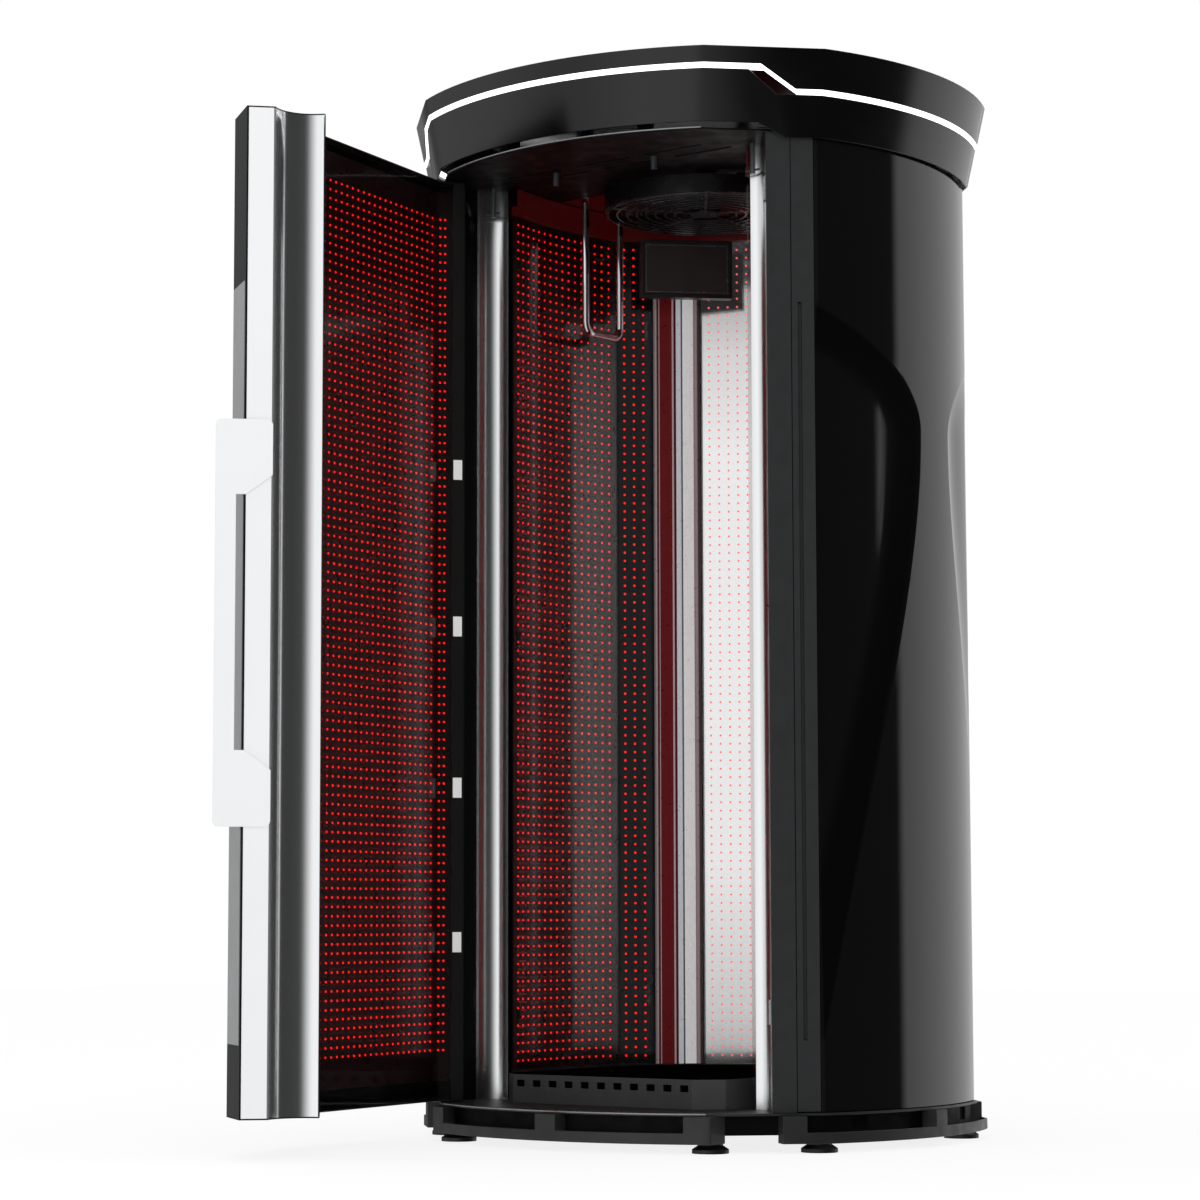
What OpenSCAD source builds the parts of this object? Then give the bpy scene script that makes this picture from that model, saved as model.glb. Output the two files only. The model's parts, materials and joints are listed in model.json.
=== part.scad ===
// Stand-up light booth: an octagonal cabinet with curved sides, a flared canopy and a curved door.
// Millimetres. Origin on the floor under the middle of the cabinet, front towards -Y, up is +Z.
// The door is drawn closed and then turned open about its pivots, which is the rest position.

/* [Cabinet] */
// Width over the canopy's top edge
cabinet_w = 1270; // [1200:5:1400]
// Depth over the canopy's top edge
cabinet_d = 1210; // [1150:5:1330]
// Radius of the front and rear arcs of the canopy's top edge
front_r = 783; // [760:1:830]
// Radius of the side arcs of the canopy's top edge
side_r = 766; // [750:1:800]
// What the chamfers cut off the corners, square to the chamfer
corner_cut = 249.8; // [240:0.2:260]
// Overall height
total_h = 2290; // [2230:5:2390]
// Height of the canopy's band
canopy_h = 153; // [130:1:170]
// How much lower the canopy hangs at its sides
canopy_drop = 28; // [10:1:40]
// How far the canopy leans in for each millimetre of height
canopy_lean = 0.213; // [0.1:0.01:0.3]
// Setback of the body from the canopy's top edge
body_inset = 52; // [48:1:56]
// Thickness of the body's shells
shell_t = 4; // [3:0.5:5]

/* [Base] */
// Height of the floor plate's underside
floor_z = 76; // [70:1:90]
// Thickness of the floor plate
floor_t = 5; // [4:1:7]
// Height of the skirt's lower edge above the floor
skirt_z = 20; // [16:1:26]
// Setback of the skirt
skirt_inset = 24; // [20:1:30]
// Height of the skirt's lower rail
skirt_rail = 23; // [18:1:28]
// Diameter of a levelling foot
foot_d = 76; // [60:1:90]
// Height of the step platform
step_h = 62; // [50:1:80]

/* [Cabin] */
// Depth of the side cavities between the cabin's walls and the canopy's top edge
cavity = 304; // [300:1:310]
// How much nearer the flat rear panels are to the cabin's middle than the side walls
rear_step = 33; // [26:1:40]
// Radius of the curved side walls
wall_r = 975; // [900:5:1050]
// Thickness of the clear wall covers and door cover
cover_t = 4; // [3:0.5:6]
// Air gap between a cover and its light board
board_gap = 10; // [6:1:14]
// Thickness of a light board
board_t = 4; // [2:0.5:6]
// Height of the lower edge of the wall panels
wall_z0 = 146; // [140:1:160]
// Distance of the wall panels' upper edge below the ceiling
wall_drop = 58; // [48:1:100]

/* [Door] */
// How far the door stands open at rest
door_open = 80; // [0:1:90]
// Clearance above and below the door
door_gap = 2; // [1.5:0.5:4]
// Place of the pivot along the left chamfer
pivot_u = 17; // [12:1:20]
// Depth of the pivot under the chamfer's outer face
pivot_in = 19; // [18:1:22]
// Diameter of the pivot pins
pivot_d = 12; // [10:1:14]
// Running clearance of a pivot pin, on the radius
pivot_fit = 0.05; // [0.02:0.01:0.1]
// Width of the closing face at the door's free end
end_w = 58; // [50:1:64]
// Clearance between the closed door's free end and the post
end_gap = 9; // [8:0.5:11]
// Radius of the door's chrome cove
cove_r = 74; // [66:1:90]
// Distance of the door's light panel behind the canopy's front edge
panel_in = 227; // [221:1:231]
// Height of the handle's lower end
handle_z0 = 660; // [500:5:800]
// Length of the handle
handle_len = 817; // [600:5:900]
// Width of the grip beside the finger slot
grip_w = 41; // [30:1:48]
// Width of the finger slot
slot_w = 20; // [16:1:26]
// Thickness of the handle plate
handle_t = 5; // [3:0.5:6]

/* [Side recess] */
// Depth of the blade-shaped recesses in the side shells
recess_depth = 14; // [8:1:18]
// Width of the bevel along a recess's ridge
recess_bevel = 34; // [20:1:50]
// Height of the recesses' lower tips
recess_z0 = 229; // [200:1:300]
// Distance of the recesses' upper corners below the ceiling
recess_drop = 363; // [280:1:420]
// Shift of the waist from the middle of the side
waist_y = 70; // [40:5:90]
// Half width of the waist between the two recesses
waist_half = 66; // [50:1:90]

/* [Ceiling] */
// Thickness of the top plate over posts and door
header_t = 4; // [3:0.5:6]
// Distance of the top plate's rear edge in front of the middle
header_edge = 90; // [80:1:110]
// Depth of the ceiling pan above the top plate
pan_h = 50; // [40:1:60]
// Outer radius of the fan's ring
fan_r = 231; // [210:1:236]
// Distance of the fan behind the middle
fan_y = 30; // [20:1:40]
// Height of the fan's ring
fan_h = 40; // [36:1:44]
// Number of fan blades
fan_blades = 7; // [3:1:9]
// Diameter of the grab handles' rod
grab_d = 18; // [14:1:22]
// Distance between the two legs of a grab handle
grab_span = 130; // [100:5:150]
// Drop of the grab handles below the top plate
grab_drop = 305; // [200:5:400]

/* [Display] */
// Width of the touch display
display_w = 215; // [180:1:230]
// Height of the touch display
display_h = 136; // [110:1:150]
// Thickness of the touch display
display_t = 26; // [20:1:30]

/* [Hidden] */
$fn = 96;
seam = 1;             // visible joint between neighbouring panels
touch = 0.3;          // clearance of curved faces that meet
floor_top = floor_z + floor_t;
canopy_z = total_h - canopy_h;
header_z = canopy_z - 14;
header_top = header_z + header_t;
body_z0 = floor_top + 2;
body_z1 = header_z;
wall_z1 = header_z - wall_drop;
recess_z1 = body_z1 - recess_drop;
door_z0 = floor_top + door_gap;
door_z1 = header_z - door_gap - 1;
cap_t = 3;
reach = 1500;

// The plan: half sizes, arc centres and chamfers
half_w = cabinet_w / 2;
half_d = cabinet_d / 2;
front_off = front_r - half_d;
side_off = side_r - half_w;
chamfer_d = (half_w + half_d) / sqrt(2) - corner_cut;
chamfer_out = chamfer_d - body_inset;
cabin_half_w = half_w - cavity;
cabin_r = cabin_half_w - rear_step;
cabin_mid = -76;      // where the cabin is widest
panel_y = half_d - panel_in;

// Along the chamfers: the door's edge, the post and the strip, measured from the diagonal
u_mid = (half_w - half_d - 30) / sqrt(2);
u_door = u_mid + 41;
u_post = u_door + end_gap;
u_strip = u_mid + 103;
u_shell = u_mid + 151;
u_rear = 70 - u_mid;

// The jamb behind each front post, on the right; mirrored for the left
face_dir = [-0.607, 0.795];
jamb_p = chamfer_point(u_post, chamfer_out, 1) + 85 * face_dir;
jamb_q = jamb_p + [-57, 32];
jamb_cove_r = 48;
wall_front = jamb_q[1] + 14;

// The door's section, closed
pivot = chamfer_point(u_mid + pivot_u, chamfer_out - pivot_in, -1);
end_out = chamfer_point(u_door, chamfer_out, 1);
end_in = end_out + end_w * face_dir;
ridge = jamb_q - [29, 5];
panel_j = [-cabin_half_w - 14, -panel_y];
panel_k = panel_j + [-21, 21];
stile_s = panel_k + [-18, 18];
panel_end = ridge[0] - 14;

// A point on a chamfer: u along it, d from the middle, side 1 for the right and -1 for the left
function chamfer_point(u, d, side) = [side * (u + d), u - d] / sqrt(2);
// Centre of the arc of radius r over the chord a-b, on the chord's left-hand side
function arc_centre(a, b, r) =
    let (m = (a + b) / 2, c = b - a, h = sqrt(r * r - c * c / 4))
    m + h * [-c[1], c[0]] / norm(c);
// A polygon drawn towards its own middle, for hollow sections
function shrunk(points, k) =
    let (c = [for (i = [0, 1]) sum([for (p = points) p[i]]) / len(points)])
    [for (p = points) c + k * (p - c)];
function sum(v, i = 0) = i < len(v) ? v[i] + sum(v, i + 1) : 0;

// Plan shapes

// The cabinet's outline: front, rear and side arcs with 45 degree chamfers, set in by inset
module outline(inset) {
    intersection() {
        translate([0, front_off]) circle(r = front_r - inset);
        translate([0, -front_off]) circle(r = front_r - inset);
        translate([side_off, 0]) circle(r = side_r - inset);
        translate([-side_off, 0]) circle(r = side_r - inset);
        rotate(45) square(2 * (chamfer_d - inset), center = true);
    }
}

module outline_ring(outer, inner) {
    difference() {
        outline(outer);
        outline(inner);
    }
}

// The stretch u0 to u1 of the right front chamfer
module chamfer_band(u0, u1, depth) {
    rotate(45) translate([u0, -chamfer_d - 10]) square([u1 - u0, body_inset + 10 + depth]);
}

// Everything the given way round from the middle
module wedge(a0, a1) {
    mid = (a0 + a1) / 2;
    polygon([[0, 0], for (a = [a0, mid, a1]) reach * [cos(a), sin(a)]]);
}

module half_plane(angle, distance) {
    rotate(angle) translate([distance - 2 * reach, -reach]) square([2 * reach, 2 * reach]);
}

// The cabin: two curved side walls and four flat rear panels
module cabin(grow) {
    intersection() {
        translate([cabin_half_w - wall_r, cabin_mid]) circle(r = wall_r + grow);
        translate([wall_r - cabin_half_w, cabin_mid]) circle(r = wall_r + grow);
        half_plane(45, cabin_r + grow);
        half_plane(65, cabin_r + grow);
        half_plane(115, cabin_r + grow);
        half_plane(135, cabin_r + grow);
    }
}

module cabin_ring(inner, outer, front) {
    intersection() {
        difference() {
            cabin(outer);
            cabin(inner);
        }
        translate([-reach, front]) square(2 * reach);
    }
}

module slab(z0, z1) {
    translate([0, 0, z0]) linear_extrude(z1 - z0) children();
}

// Turns the closed door's pieces to the rest position about the pivots
module at_door() {
    translate([pivot[0], pivot[1], 0]) rotate([0, 0, -door_open])
        translate([-pivot[0], -pivot[1], 0]) children();
}

module both_sides() {
    children();
    mirror([1, 0, 0]) children();
}

module both_ends() {
    children();
    mirror([0, 1, 0]) children();
}

// Base

foot_xy = [[half_w - 301, half_d - 167], [half_w - 140, half_d - 326]];
foot_places = [for (sx = [-1, 1], sy = [-1, 1], p = foot_xy) [sx * p[0], sy * p[1]]];
frame_out = 60;
frame_in = 104;
frame_t = 4;
frame_z = floor_z - 40;
beam_y = half_d / 3;
beam_w = 50;

module base_frame() {
    color("#202224") difference() {
        union() {
            slab(frame_z, floor_z) outline_ring(frame_out, frame_in);
            for (y = [-beam_y, beam_y]) slab(floor_z - 30, floor_z)
                intersection() {
                    translate([-reach, y - beam_w / 2]) square([2 * reach, beam_w]);
                    outline(frame_in - 1);
                }
        }
        slab(frame_z - 1, floor_z - frame_t)
            outline_ring(frame_out + frame_t, frame_in - frame_t);
        for (y = [-beam_y, beam_y]) translate([-reach, y - beam_w / 2 + frame_t, floor_z - 31])
            cube([2 * reach, beam_w - 2 * frame_t, 31 - frame_t]);
    }
}

module levelling_feet() {
    pad_r = foot_d / 2;
    neck_r = pad_r - 12;
    stem_r = 8;
    color("#161718") for (p = foot_places) translate([p[0], p[1], 0]) {
        rotate_extrude() polygon([
            [0, 0], [pad_r, 0], [pad_r, 8], [neck_r, 16], [neck_r, 20], [stem_r, 20],
            [stem_r, floor_z - frame_t], [0, floor_z - frame_t],
        ]);
        translate([0, 0, 19]) rotate([0, 0, 15]) cylinder(d = 2 * neck_r - 12, h = 12, $fn = 6);
    }
}

skirt_half = half_w - 267;
skirt_angle = atan2(half_d - 226, half_w - 161.5);
end_block = 50;

// One side of the skirt: a low rail, open above it between end blocks and a rib.
// The first child is the sector it fills, the second is what stays solid.
module skirt() {
    difference() {
        slab(skirt_z, floor_z) intersection() {
            outline_ring(skirt_inset, frame_out);
            children(0);
        }
        slab(skirt_z - 1, floor_z + 1) difference() {
            outline_ring(skirt_inset + shell_t, frame_out + 1);
            children(1);
        }
        slab(skirt_z + skirt_rail, floor_z + 1) difference() {
            children(0);
            children(1);
        }
    }
}

module skirt_front() {
    skirt() {
        translate([-skirt_half, -reach]) square([2 * skirt_half, reach]);
        union() {
            for (x = [-skirt_half, skirt_half - end_block]) translate([x, -reach]) square([end_block, reach]);
            translate([-11, -reach]) square([52, reach]);
        }
    }
}

module skirt_side() {
    skirt() {
        wedge(-skirt_angle, skirt_angle);
        union() {
            rotate(-skirt_angle) square([reach, end_block]);
            rotate(skirt_angle) translate([0, -end_block]) square([reach, end_block]);
            translate([0, -10]) square([reach, 44]);
        }
    }
}

module base_skirt_front() {
    color("#242628") skirt_front();
}

module base_skirt_rear() {
    color("#242628") mirror([0, 1, 0]) skirt_front();
}

module base_skirt_right() {
    color("#242628") skirt_side();
}

module base_skirt_left() {
    color("#242628") mirror([1, 0, 0]) skirt_side();
}

module floor_plate() {
    color("#3a3c3f") difference() {
        slab(floor_z, floor_top) outline(45);
        gland_place() cylinder(r = gland_r, h = 40, center = true);
    }
}

step_front = panel_y - 8;
step_half = cabin_half_w - 41;
step_chamfer = 50;
step_slots = 11;

module step_plan(inset) {
    intersection() {
        cabin(-3 - inset);
        polygon([
            [-step_half + inset, reach], [-step_half + inset, step_chamfer - step_front],
            [step_chamfer - step_half, inset - step_front], [step_half - step_chamfer, inset - step_front],
            [step_half - inset, step_chamfer - step_front], [step_half - inset, reach],
        ]);
    }
}

module step_platform() {
    wall = 4;
    pitch = 2 * (step_half - step_chamfer) / step_slots;
    color("#2b2d30") difference() {
        slab(floor_top, floor_top + step_h) step_plan(0);
        slab(floor_top - 1, floor_top + step_h - wall) step_plan(wall);
        for (i = [0 : step_slots - 1])
            translate([(i - (step_slots - 1) / 2) * pitch - 11, -step_front - 1, floor_top + step_h - 26])
                cube([22, wall + 2, 14]);
    }
}

// Posts and shells

module jamb_section() {
    polygon([
        chamfer_point(u_post, chamfer_out, 1), chamfer_point(u_strip - seam, chamfer_out, 1),
        chamfer_point(u_strip - seam, chamfer_out - 34, 1), jamb_p + [6, 42], jamb_q + [8, 26], jamb_q, jamb_p,
    ]);
}

module jamb_hollow() {
    polygon(shrunk([
        chamfer_point(u_post, chamfer_out, 1), chamfer_point(u_strip - seam, chamfer_out, 1),
        chamfer_point(u_strip - seam, chamfer_out - 34, 1), jamb_p + [6, 42], jamb_p + [2, 14],
    ], 0.9));
}

module jamb_arc(grow) {
    translate(arc_centre(jamb_p, jamb_q, jamb_cove_r)) circle(r = jamb_cove_r + grow);
}

module front_post() {
    slab(floor_top, header_z) difference() {
        jamb_section();
        jamb_hollow();
        jamb_arc(2 + touch);
    }
}

module front_post_right() {
    color("#2e2e2e") front_post();
}

module front_post_left() {
    color("#2e2e2e") mirror([1, 0, 0]) front_post();
}

module jamb_reflector() {
    slab(floor_top, header_z) intersection() {
        difference() {
            jamb_arc(2);
            jamb_arc(0);
        }
        jamb_section();
    }
}

module jamb_reflector_right() {
    color("#d9dcdf") jamb_reflector();
}

module jamb_reflector_left() {
    color("#d9dcdf") mirror([1, 0, 0]) jamb_reflector();
}

// The dark strip between post and side shell, with its long groove
module corner_strip() {
    difference() {
        slab(body_z0, body_z1) intersection() {
            outline_ring(body_inset, body_inset + 12);
            chamfer_band(u_strip, u_shell, 12);
        }
        translate([0, 0, recess_z0]) linear_extrude(recess_z1 - recess_z0) rotate(45)
            translate([u_strip + 14, -chamfer_out - 1]) square([7, 6]);
    }
}

module corner_strips() {
    color("#313335") both_sides() corner_strip();
}

post_depth = 26;
post_wall = 2.5;

// The rear corners: one plain post over the whole chamfer
module rear_posts() {
    color("#2e2e2e") both_sides() mirror([0, 1, 0]) slab(floor_top, header_z) difference() {
        intersection() {
            outline_ring(body_inset, body_inset + post_depth);
            chamfer_band(-u_rear, u_shell, post_depth);
        }
        intersection() {
            outline_ring(body_inset + post_wall, body_inset + post_depth - post_wall);
            chamfer_band(2 * post_wall - u_rear, u_shell - 2 * post_wall, post_depth);
        }
    }
}

// A point at t on the Bezier curve with control points p
function bezier(p, t) = len(p) == 1 ? p[0]
    : bezier([for (i = [0 : len(p) - 2]) (1 - t) * p[i] + t * p[i + 1]], t);

// Ridge of a side recess on the unrolled shell, [y, z]: from its upper corner over the waist to its tip
recess_h = recess_z1 - recess_z0;
ridge_waist = [waist_y - waist_half, recess_z1 - 0.157 * recess_h];
ridge_upper = [[297 - half_d, recess_z1], ridge_waist + [0, 0.072 * recess_h], ridge_waist];
ridge_lower = [
    ridge_waist, ridge_waist - [0, 0.193 * recess_h],
    [455 - half_d, recess_z0 + 0.458 * recess_h], [314 - half_d, recess_z0],
];
recess_steps = 36;
function ridge_at(k) = k < 12 ? bezier(ridge_upper, k / 12)
    : bezier(ridge_lower, (k - 12) / (recess_steps - 12));
function inward(k) =
    let (d = ridge_at(min(k + 0.2, recess_steps)) - ridge_at(max(k - 0.2, 0)))
    [d[1], -d[0]] / norm(d);

// What a recess takes away, moved in by inset: a bevel along the ridge down to a curved floor
module recess_cutter(inset) {
    shell_r = side_r - body_inset;
    over = 10;
    under = 4;
    out_r = shell_r + over - inset;
    floor_r = shell_r - recess_depth - inset;
    slope = recess_bevel / recess_depth;
    beyond = half_d - 215;
    function place(p, r) =
        let (a = asin(p[0] / shell_r)) [r * cos(a) - side_off, r * sin(a), p[1]];
    points = [for (k = [0 : recess_steps]) each
        let (p = ridge_at(k), n = inward(k), a = p - n * slope * over, b = p + n * slope * (recess_depth + under))
        [place(a, out_r), place([max(b[0], 10 - beyond), b[1]], floor_r - under),
            place([-beyond, b[1]], floor_r - under), place([-beyond, a[1]], out_r + 80)]];
    last = 4 * recess_steps;
    faces = [[2, 1, 0], [3, 2, 0], [last, last + 1, last + 2], [last, last + 2, last + 3],
        for (i = [0 : recess_steps - 1], k = [0 : 3], half = [0, 1])
            let (a = 4 * i + k, b = 4 * i + (k + 1) % 4)
            half == 0 ? [a, b + 4, a + 4] : [a, b, b + 4]];
    difference() {
        polyhedron(points, faces);
        translate([-side_off, 0, recess_z0 - 300]) cylinder(r = floor_r, h = recess_z1 - recess_z0 + 600);
    }
}

// The side's solid body, set in by extra, with both recesses cut
module side_body(extra) {
    difference() {
        slab(body_z0 - (extra > 0 ? 1 : 0), body_z1 + (extra > 0 ? 1 : 0))
            outline(body_inset + extra);
        recess_cutter(extra);
        turned_about_waist() recess_cutter(extra);
    }
}

// The same recess on the other side of the waist, mirrored round the shell
module turned_about_waist() {
    angle = asin(waist_y / (side_r - body_inset));
    translate([-side_off, 0, 0]) rotate([0, 0, 2 * angle]) mirror([0, 1, 0])
        translate([side_off, 0, 0]) children();
}

module side_shell() {
    intersection() {
        difference() {
            side_body(0);
            side_body(shell_t);
        }
        slab(body_z0, body_z1) rotate(-45) translate([u_shell + seam, u_shell + seam]) square(reach);
    }
}

module side_shell_right() {
    color("#0d0d0e") side_shell();
}

module side_shell_left() {
    color("#0d0d0e") mirror([1, 0, 0]) side_shell();
}

module rear_shell() {
    color("#0d0d0e") difference() {
        slab(body_z0, body_z1) intersection() {
            outline_ring(body_inset, body_inset + shell_t);
            rotate(45) translate([u_rear + seam, u_rear + seam]) square(reach);
        }
        for (i = [0 : 11]) translate([-120, half_d - 205, body_z1 - 343 + i * 18]) cube([240, 300, 8]);
    }
}

// Canopy

// Half space under a plane that leans like the canopy, over the chamfer at the given angle
module lean_plane(angle, inset) {
    rotate([0, 0, angle]) translate([chamfer_d - inset, 0, total_h])
        rotate([0, atan(canopy_lean), 0]) translate([-2 * reach, -reach, -reach]) cube(2 * reach);
}

module lean_cone(x, y, r, inset) {
    z0 = canopy_z - 100;
    h = total_h + 20 - z0;
    translate([x, y, z0])
        cylinder(r1 = r - inset - canopy_lean * (total_h - z0), r2 = r - inset + canopy_lean * 20, h = h);
}

module canopy_body(inset) {
    intersection() {
        lean_cone(0, front_off, front_r, inset);
        lean_cone(0, -front_off, front_r, inset);
        lean_cone(side_off, 0, side_r, inset);
        lean_cone(-side_off, 0, side_r, inset);
        lean_plane(45, inset);
        lean_plane(135, inset);
        lean_plane(225, inset);
        lean_plane(315, inset);
    }
}

// What lies between two stepped lines seen from the front: high in front, lower at the sides
module stepped(z_low, drop_low, z_high, drop_high, x0, x1) {
    translate([0, reach, 0]) rotate([90, 0, 0]) linear_extrude(2 * reach) polygon([
        [-reach, z_low - drop_low], [-x1, z_low - drop_low], [-x0, z_low], [x0, z_low],
        [x1, z_low - drop_low], [reach, z_low - drop_low],
        [reach, z_high - drop_high], [x1, z_high - drop_high], [x0, z_high],
        [-x0, z_high], [-x1, z_high - drop_high], [-reach, z_high - drop_high],
    ]);
}

line_z = total_h - 40;
line_drop = 49;
line_h = 11;
line_x0 = half_w - 174;
line_x1 = half_w - 128;
fascia_t = 4;

module canopy_fascia_upper() {
    color("#18191b") intersection() {
        difference() {
            canopy_body(0);
            canopy_body(fascia_t);
        }
        stepped(line_z + line_h / 2, line_drop, total_h, 0, line_x0, line_x1);
    }
}

module canopy_light_line() {
    color("#ffffff") intersection() {
        difference() {
            canopy_body(1);
            canopy_body(fascia_t + 8);
        }
        stepped(line_z - line_h / 2, line_drop, line_z + line_h / 2, line_drop, line_x0, line_x1);
    }
}

module canopy_fascia_lower() {
    color("#18191b") intersection() {
        difference() {
            canopy_body(2);
            canopy_body(2 + fascia_t);
        }
        stepped(canopy_z, canopy_drop, line_z - line_h / 2, line_drop, half_w - 195, half_w - 159);
        stepped(canopy_z - 50, 0, line_z - line_h / 2, line_drop, line_x0, line_x1);
    }
}

roof_z = total_h - 12;
roof_t = 4;
ring_out = 110;
ring_in = 150;

// Two flat rings with eight posts between them
module canopy_frame() {
    color("#26282a") {
        slab(header_top, header_top + frame_t) outline_ring(ring_out, ring_in);
        slab(roof_z - frame_t, roof_z) outline_ring(ring_out, ring_in);
        slab(header_top + frame_t - 1, roof_z - frame_t + 1) intersection() {
            outline_ring(ring_out + 5, ring_in - 5);
            for (a = [22.5 : 45 : 337.5]) rotate(a) translate([0, -15]) square([reach, 30]);
        }
    }
}

module roof_panel() {
    color("#141516") difference() {
        intersection() {
            canopy_body(fascia_t);
            translate([-reach, -reach, roof_z]) cube([2 * reach, 2 * reach, roof_t]);
        }
        for (a = [0 : 15 : 345]) translate([0, fan_y, 0]) rotate([0, 0, a])
            translate([fan_r - 111, -4, roof_z - 1]) cube([80, 8, roof_t + 2]);
    }
}

// Ceiling

header_slots = 3;

module ceiling_header() {
    color("#4a4c50") difference() {
        slab(header_z, header_top) difference() {
            outline(body_inset - 2);
            intersection() {
                cabin(0);
                translate([-reach, -header_edge]) square(2 * reach);
            }
        }
        for (row = [0, 1], i = [0 : header_slots - 1])
            translate([(i - 1) * 190 + row * 40, -355 + row * 55, header_z - 1]) slot(150, 9, header_t + 2);
    }
}

module slot(length, width, h) {
    for (x = [-1, 1]) translate([x * (length - width) / 2, 0, 0]) cylinder(d = width, h = h, $fn = 32);
    translate([-(length - width) / 2, -width / 2, 0]) cube([length - width, width, h]);
}

module ceiling_pan() {
    pan_t = 2;
    color("#2a1416") difference() {
        slab(header_top, header_top + pan_h) intersection() {
            cabin(8);
            translate([-reach, -header_edge - 8]) square(2 * reach);
        }
        slab(header_top - 1, header_top + pan_h - pan_t) intersection() {
            cabin(8 - pan_t);
            translate([-reach, -header_edge - 8 + pan_t]) square(2 * reach);
        }
        translate([0, fan_y + 70, header_top]) cylinder(r = fan_r - 81, h = pan_h + 1);
    }
}

// Two short studs over the doorway, and in each jamb's cove a longer one with a cross rod
module ceiling_studs() {
    long_stud = 66;
    short_stud = 28;
    rod = 36;
    color("#55585c") {
        for (x = [-150, 120]) translate([x, 48 - panel_y, header_z - short_stud])
            cylinder(d = 14, h = short_stud);
        both_sides() translate([jamb_q[0] + 23, jamb_q[1] - 24, header_z - long_stud]) {
            cylinder(d = 12, h = long_stud);
            translate([-rod / 2, 0, 8]) rotate([0, 90, 0]) cylinder(d = 5, h = rod);
        }
    }
}

// Cabin walls

// Where a curved side wall meets the 45 degree panel
wall_centre = [cabin_half_w - wall_r, cabin_mid];
wall_s = cabin_r - (wall_centre[0] + wall_centre[1]) / sqrt(2);
wall_t = sqrt(wall_r * wall_r - wall_s * wall_s);
wall_corner = wall_centre + [wall_s + wall_t, wall_s - wall_t] / sqrt(2);

corner_a0 = atan2(wall_corner[1], wall_corner[0]) + 0.6;
corner_a1 = 34.3;
corner_a2 = 55;
profile_proud = 2;

module wall_piece(inner, outer, z0, z1, a0, a1) {
    slab(z0, z1) intersection() {
        cabin_ring(inner, outer, wall_front);
        wedge(a0, a1);
    }
}

module wall_set(inner, outer, z0, z1) {
    wall_piece(inner, outer, z0, z1, corner_a0 + 0.3, corner_a1 - 0.2);
    wall_piece(inner, outer, z0, z1, corner_a2 + 0.3, 89.8);
}

board_in = cover_t + board_gap;

module wall_cover_right() {
    color("#5a1a1e") wall_piece(0, cover_t, wall_z0, wall_z1, -42, corner_a0);
}

module wall_cover_left() {
    color("#5a1a1e") mirror([1, 0, 0]) wall_piece(0, cover_t, wall_z0, wall_z1, -42, corner_a0);
}

module wall_cover_rear() {
    color("#5a1a1e") both_sides() wall_set(0, cover_t, wall_z0, wall_z1);
}

module led_board_right() {
    color("#7a1013") wall_piece(board_in, board_in + board_t, wall_z0, wall_z1, -42, corner_a0);
}

module led_board_left() {
    color("#7a1013") mirror([1, 0, 0])
        wall_piece(board_in, board_in + board_t, wall_z0, wall_z1, -42, corner_a0);
}

module led_board_rear() {
    color("#7a1013") both_sides() wall_set(board_in, board_in + board_t, wall_z0, wall_z1);
}

// The aluminium profile that joins the corner panel to the rear panel, with ribs and a channel
module corner_profile() {
    slab(wall_z0, wall_z1) {
        intersection() {
            cabin_ring(6, 12, wall_front);
            wedge(corner_a1 + 0.2, corner_a2 - 0.1);
        }
        for (span = [[corner_a1, 36.4], [41.4, 43.0], [43.4, 45.8], [52.8, corner_a2]]) intersection() {
            cabin_ring(-profile_proud, 9, wall_front);
            wedge(span[0] + 0.2, span[1] - 0.1);
        }
    }
}

module corner_profiles() {
    color("#c9ccd0") both_sides() corner_profile();
}

module wall_rail_top() {
    color("#1c1d1f") {
        slab(wall_z1, wall_z1 + 20) cabin_ring(-3, board_in + board_t + 2, wall_front);
        slab(wall_z1 + 20, header_z) cabin_ring(0, 4, wall_front);
    }
}

module wall_rail_bottom() {
    color("#1c1d1f") {
        slab(wall_z0 - 18, wall_z0) cabin_ring(-1, board_in + board_t + 2, wall_front);
        slab(floor_top, wall_z0 - 18) cabin_ring(4, 8, wall_front);
    }
}

// Fittings in the cabin

grab_x = cabin_half_w - 59;

module grab_handle() {
    top = header_top + pan_h - 2;
    bottom = header_z - grab_drop;
    bend = 26;
    half = grab_span / 2;
    translate([grab_x, 0, 0]) {
        for (s = [-1, 1]) translate([0, s * half, 0]) {
            translate([0, 0, bottom + bend]) cylinder(d = grab_d, h = top - bottom - bend);
            translate([0, 0, top - 6]) cylinder(d = grab_d + 16, h = 6);
        }
        translate([0, -half + bend, bottom]) rotate([-90, 0, 0])
            cylinder(d = grab_d, h = grab_span - 2 * bend);
        both_ends() translate([0, half - bend, bottom + bend]) rotate([-90, 0, 90]) bend_quarter(bend, grab_d);
    }
}

// A quarter turn of rod in the XY plane, from +X round to +Y
module bend_quarter(r, d) {
    rotate_extrude(angle = 90) translate([r, 0]) circle(d = d);
}

module grab_handle_right() {
    color("#d5d8dc") grab_handle();
}

module grab_handle_left() {
    color("#d5d8dc") mirror([1, 0, 0]) grab_handle();
}

display_c = (cabin_r - 79) * [-0.684, 0.729];
display_z = wall_z1 - 150;

// Local frame of the display: X across it, Y away from the cabin's middle, Z up
module at_display() {
    translate([display_c[0], display_c[1], display_z]) rotate([0, 0, 45]) children();
}

module display_housing() {
    color("#101113") at_display() difference() {
        translate([-display_w / 2, -display_t / 2, 0]) cube([display_w, display_t, display_h]);
        translate([-display_w / 2 + 9, -display_t / 2 - 1, 9]) cube([display_w - 18, 4, display_h - 18]);
    }
}

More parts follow.
